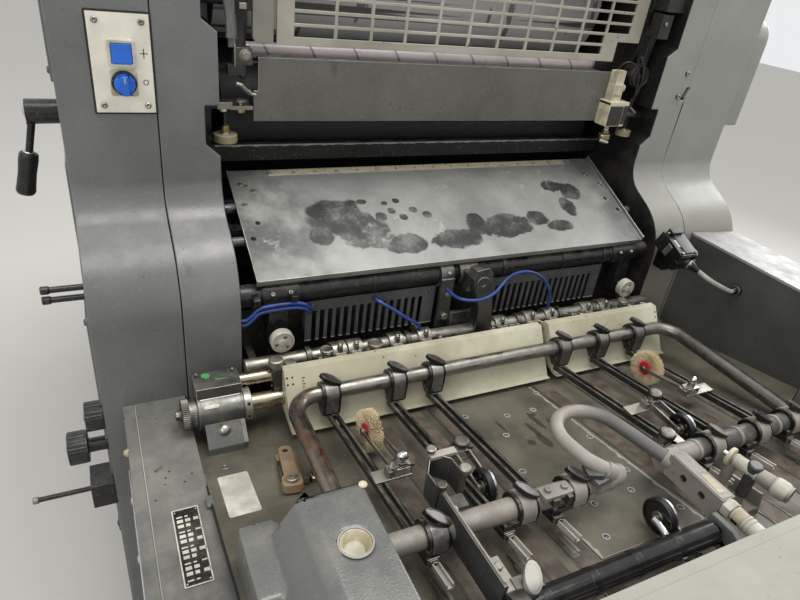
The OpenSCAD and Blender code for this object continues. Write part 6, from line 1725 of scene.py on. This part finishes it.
def feeder_and_delivery():
    tops = Part("feeder_cover_details", "cover_green_grey")
    tops.prism("cover_green_grey", rounded((-288, -888), (288, -724), 12), 1049.6, 1051.2, "z")
    tops.tube("iron_black", [(-60, -800, 1050), (-60, -800, 1066), (-50, -800, 1074), (50, -800, 1074),
                             (60, -800, 1066), (60, -800, 1050)], 5, 12)
    tops.finish(0.8)
    screws("feeder_cover_screws", "dome", "steel", "plate_steel", 5,
           [(x, y, 1050) for x in (-293, 293) for y in (-893, -719)])
    head = Part("suction_head_details", "black_iron")
    for x in (-120, -60, 0, 60, 120):
        head.lathe("steel", (x, -960, 902), TO_FLOOR, [(9, 0), (9, 18), (13, 22), (14, 30), (11, 32)], 24)
        head.lathe("steel_dark", (x, -950, 1008), TO_TOP, [(11, 0), (11, 8), (8, 10), (8, 20), (6, 22)], 24)
    head.prism("iron_worn", rounded((-140, -1024), (140, -930), 8), 1008, 1014, "z")
    head.finish(0.6)
    sides = Part("feeder_side_panels", "painted_dark")
    for x, side in ((-480, -1), (480, 1)):
        low, high = sorted((x + side * 0.3, x - side * 0.3 + side * 4))
        sides.prism("cover_grey", rounded((-1440, 150), (-1110, 900), 12), low, high)
        sides.prism("cover_grey", rounded((-1080, 150), (-740, 900), 12), low, high)
        vent(sides, "cover_grey", x + side * 3.6, -1360, 420, 180, 8, side)
        for y in (-1140, -1050):
            sides.lathe("plastic_black", (x + side * 3.6, y, 560), (side, 0, 0),
                        [(13, 0), (13, 2), (11, 3), (5, 3), (4, 5)], 28)
    sides.prism("cover_grey", rounded((-400, 855), (400, 945), 8), -1473.6, -1470, "y")
    sides.finish(1.5)
    screws("feeder_panel_screws", "dome", "steel_dark", "plate_steel", 5,
           [(side * 484, y, z, (side, 0, 0)) for side in (-1, 1) for y in (-1426, -1124, -1066, -754)
            for z in (164, 886)])
    rods = Part("feeder_pile_guides", "plate_steel")
    for x in (-330, 330):
        rods.tube("chrome", [(x, -1400, 395), (x, -1400, 835)], 8, 16)
        rods.lathe("steel_dark", (x, -1400, 391), TO_TOP, [(16, 0), (16, 10), (12, 12)], 24)
    rods.finish(0.5)
    back = Part("delivery_details", "painted_dark")
    for x, side in ((-504, -1), (504, 1)):
        low, high = sorted((x + side * 0.3, x + side * 4))
        back.prism("cover_grey", rounded((800, 150), (1300, 940), 12), low, high)
        vent(back, "cover_grey", x + side * 3.6, 960, 420, 180, 8, side)
        back.lathe("plastic_black", (x + side * 3.6, 840, 560), (side, 0, 0),
                   [(13, 0), (13, 2), (11, 3), (5, 3), (4, 5)], 28)
    hood = [(u, v) for u, v in rounded((-440, 0), (440, 440), 14)]
    slope = Matrix.Translation((0, 890, 1180)) @ Matrix.Rotation(atan2(-120, 440), 4, "X")
    back.at(slope).prism("cover_grey", hood, -0.2, 3, "z")
    back.box("iron_black", (-90, 400, 3), (90, 412, 22))
    back.box("iron_black", (-90, 400, 20), (90, 424, 27))
    back.at(Matrix())
    back.finish(1.5)
    screws("delivery_panel_screws", "dome", "steel_dark", "plate_steel", 5,
           [(side * 508, y, z, (side, 0, 0)) for side in (-1, 1) for y in (814, 1286) for z in (164, 926)])
    top = Part("top_cover_details", "painted_dark")
    for low, high in (((-480, 130), (-20, 740)), ((20, 130), (480, 740))):
        top.prism("cover_grey", rounded(low, high, 14), 1599.6, 1603, "z")
    for x in (-250, 250):
        top.box("iron_black", (x - 60, 96, 1560), (x + 60, 101, 1590))
    top.finish(1.5)
    boards = Part("pile_board_details", "pile_board")
    for y0, y1, z in ((-1380, -750, 360), (830, 1270, 300)):
        for k in range(1, 5):
            x = -365 + 730 * k / 5
            boards.box("ink_black", (x - 0.8, y0 + 0.5, z + 29.9), (x + 0.8, y1 - 0.5, z + 30.2))
        for x in (-365, 351):
            boards.box("steel_dark", (x, y0 - 0.6, z - 0.6), (x + 14, y1 + 0.6, z + 3))
    boards.finish(0)
    printing = Part("ink_unit_panels", "painted_dark")
    printing.prism("iron_black", rounded((-400, 820), (400, 1480), 14), 769.6, 773, "y")
    for x in (-390, 390):
        printing.lathe("plastic_black", (x * 0.95, 773, 1200), (0, 1, 0), [(13, 0), (13, 2), (11, 3), (4, 4)],
                       24)
    printing.finish(1.2)


cover_panels()
crank_details()
feeder_and_delivery()
for head in HEADS.values():
    bpy.data.objects.remove(head)


# Stage: pale floor, soft studio light
def make_stage():
    mesh = bpy.data.meshes.new("floor")
    size = 14.0
    mesh.from_pydata([(-size, -size, 0), (size, -size, 0), (size, size, 0), (-size, size, 0)], [],
                     [(0, 1, 2, 3)])
    floor = bpy.data.objects.new("floor", mesh)
    bpy.context.scene.collection.objects.link(floor)
    tree = Tree("floor")
    tree.set("Base Color", "dddcd8")
    tree.set("Roughness", 0.8)
    mesh.materials.append(tree.material)
    world = bpy.data.worlds.new("world")
    bpy.context.scene.world = world
    world.use_nodes = True
    nodes, links = world.node_tree.nodes, world.node_tree.links
    light = nodes["Background"]
    light.inputs[0].default_value = (1.0, 0.985, 0.95, 1)
    light.inputs[1].default_value = 0.6
    seen = nodes.new("ShaderNodeBackground")
    seen.inputs[0].default_value = (0.93, 0.94, 0.95, 1)
    seen.inputs[1].default_value = 0.9
    ray = nodes.new("ShaderNodeLightPath")
    either = nodes.new("ShaderNodeMath")
    either.operation = "MAXIMUM"
    links.new(ray.outputs["Is Camera Ray"], either.inputs[0])
    links.new(ray.outputs["Is Glossy Ray"], either.inputs[1])
    last = nodes.new("ShaderNodeMath")
    last.operation = "MAXIMUM"
    links.new(either.outputs[0], last.inputs[0])
    links.new(ray.outputs["Is Transmission Ray"], last.inputs[1])
    blend = nodes.new("ShaderNodeMixShader")
    links.new(last.outputs[0], blend.inputs[0])
    links.new(light.outputs[0], blend.inputs[1])
    links.new(seen.outputs[0], blend.inputs[2])
    links.new(blend.outputs[0], nodes["World Output"].inputs[0])


def area_light(name, at, target, size, power, colour=(1, 1, 1)):
    data = bpy.data.lights.new(name, "AREA")
    data.shape = "RECTANGLE"
    data.size, data.size_y = size
    data.energy = power
    data.color = colour
    lamp = bpy.data.objects.new(name, data)
    bpy.context.scene.collection.objects.link(lamp)
    lamp.location = at
    lamp.rotation_euler = (Vector(target) - Vector(at)).to_track_quat("-Z", "Y").to_euler()


make_stage()
area_light("ceiling", (0.2, -0.6, 4.2), (0, -0.2, 1.0), (2.6, 1.6), 80, (1.0, 0.99, 0.96))
area_light("window", (3.4, 0.6, 2.4), (0.2, -0.2, 1.1), (1.8, 1.8), 58)
area_light("fill", (-2.8, -2.2, 2.8), (0, -0.2, 1.0), (2.0, 1.6), 36, (1.0, 0.985, 0.95))

view = bpy.context.scene.view_settings
view.view_transform = "Standard"
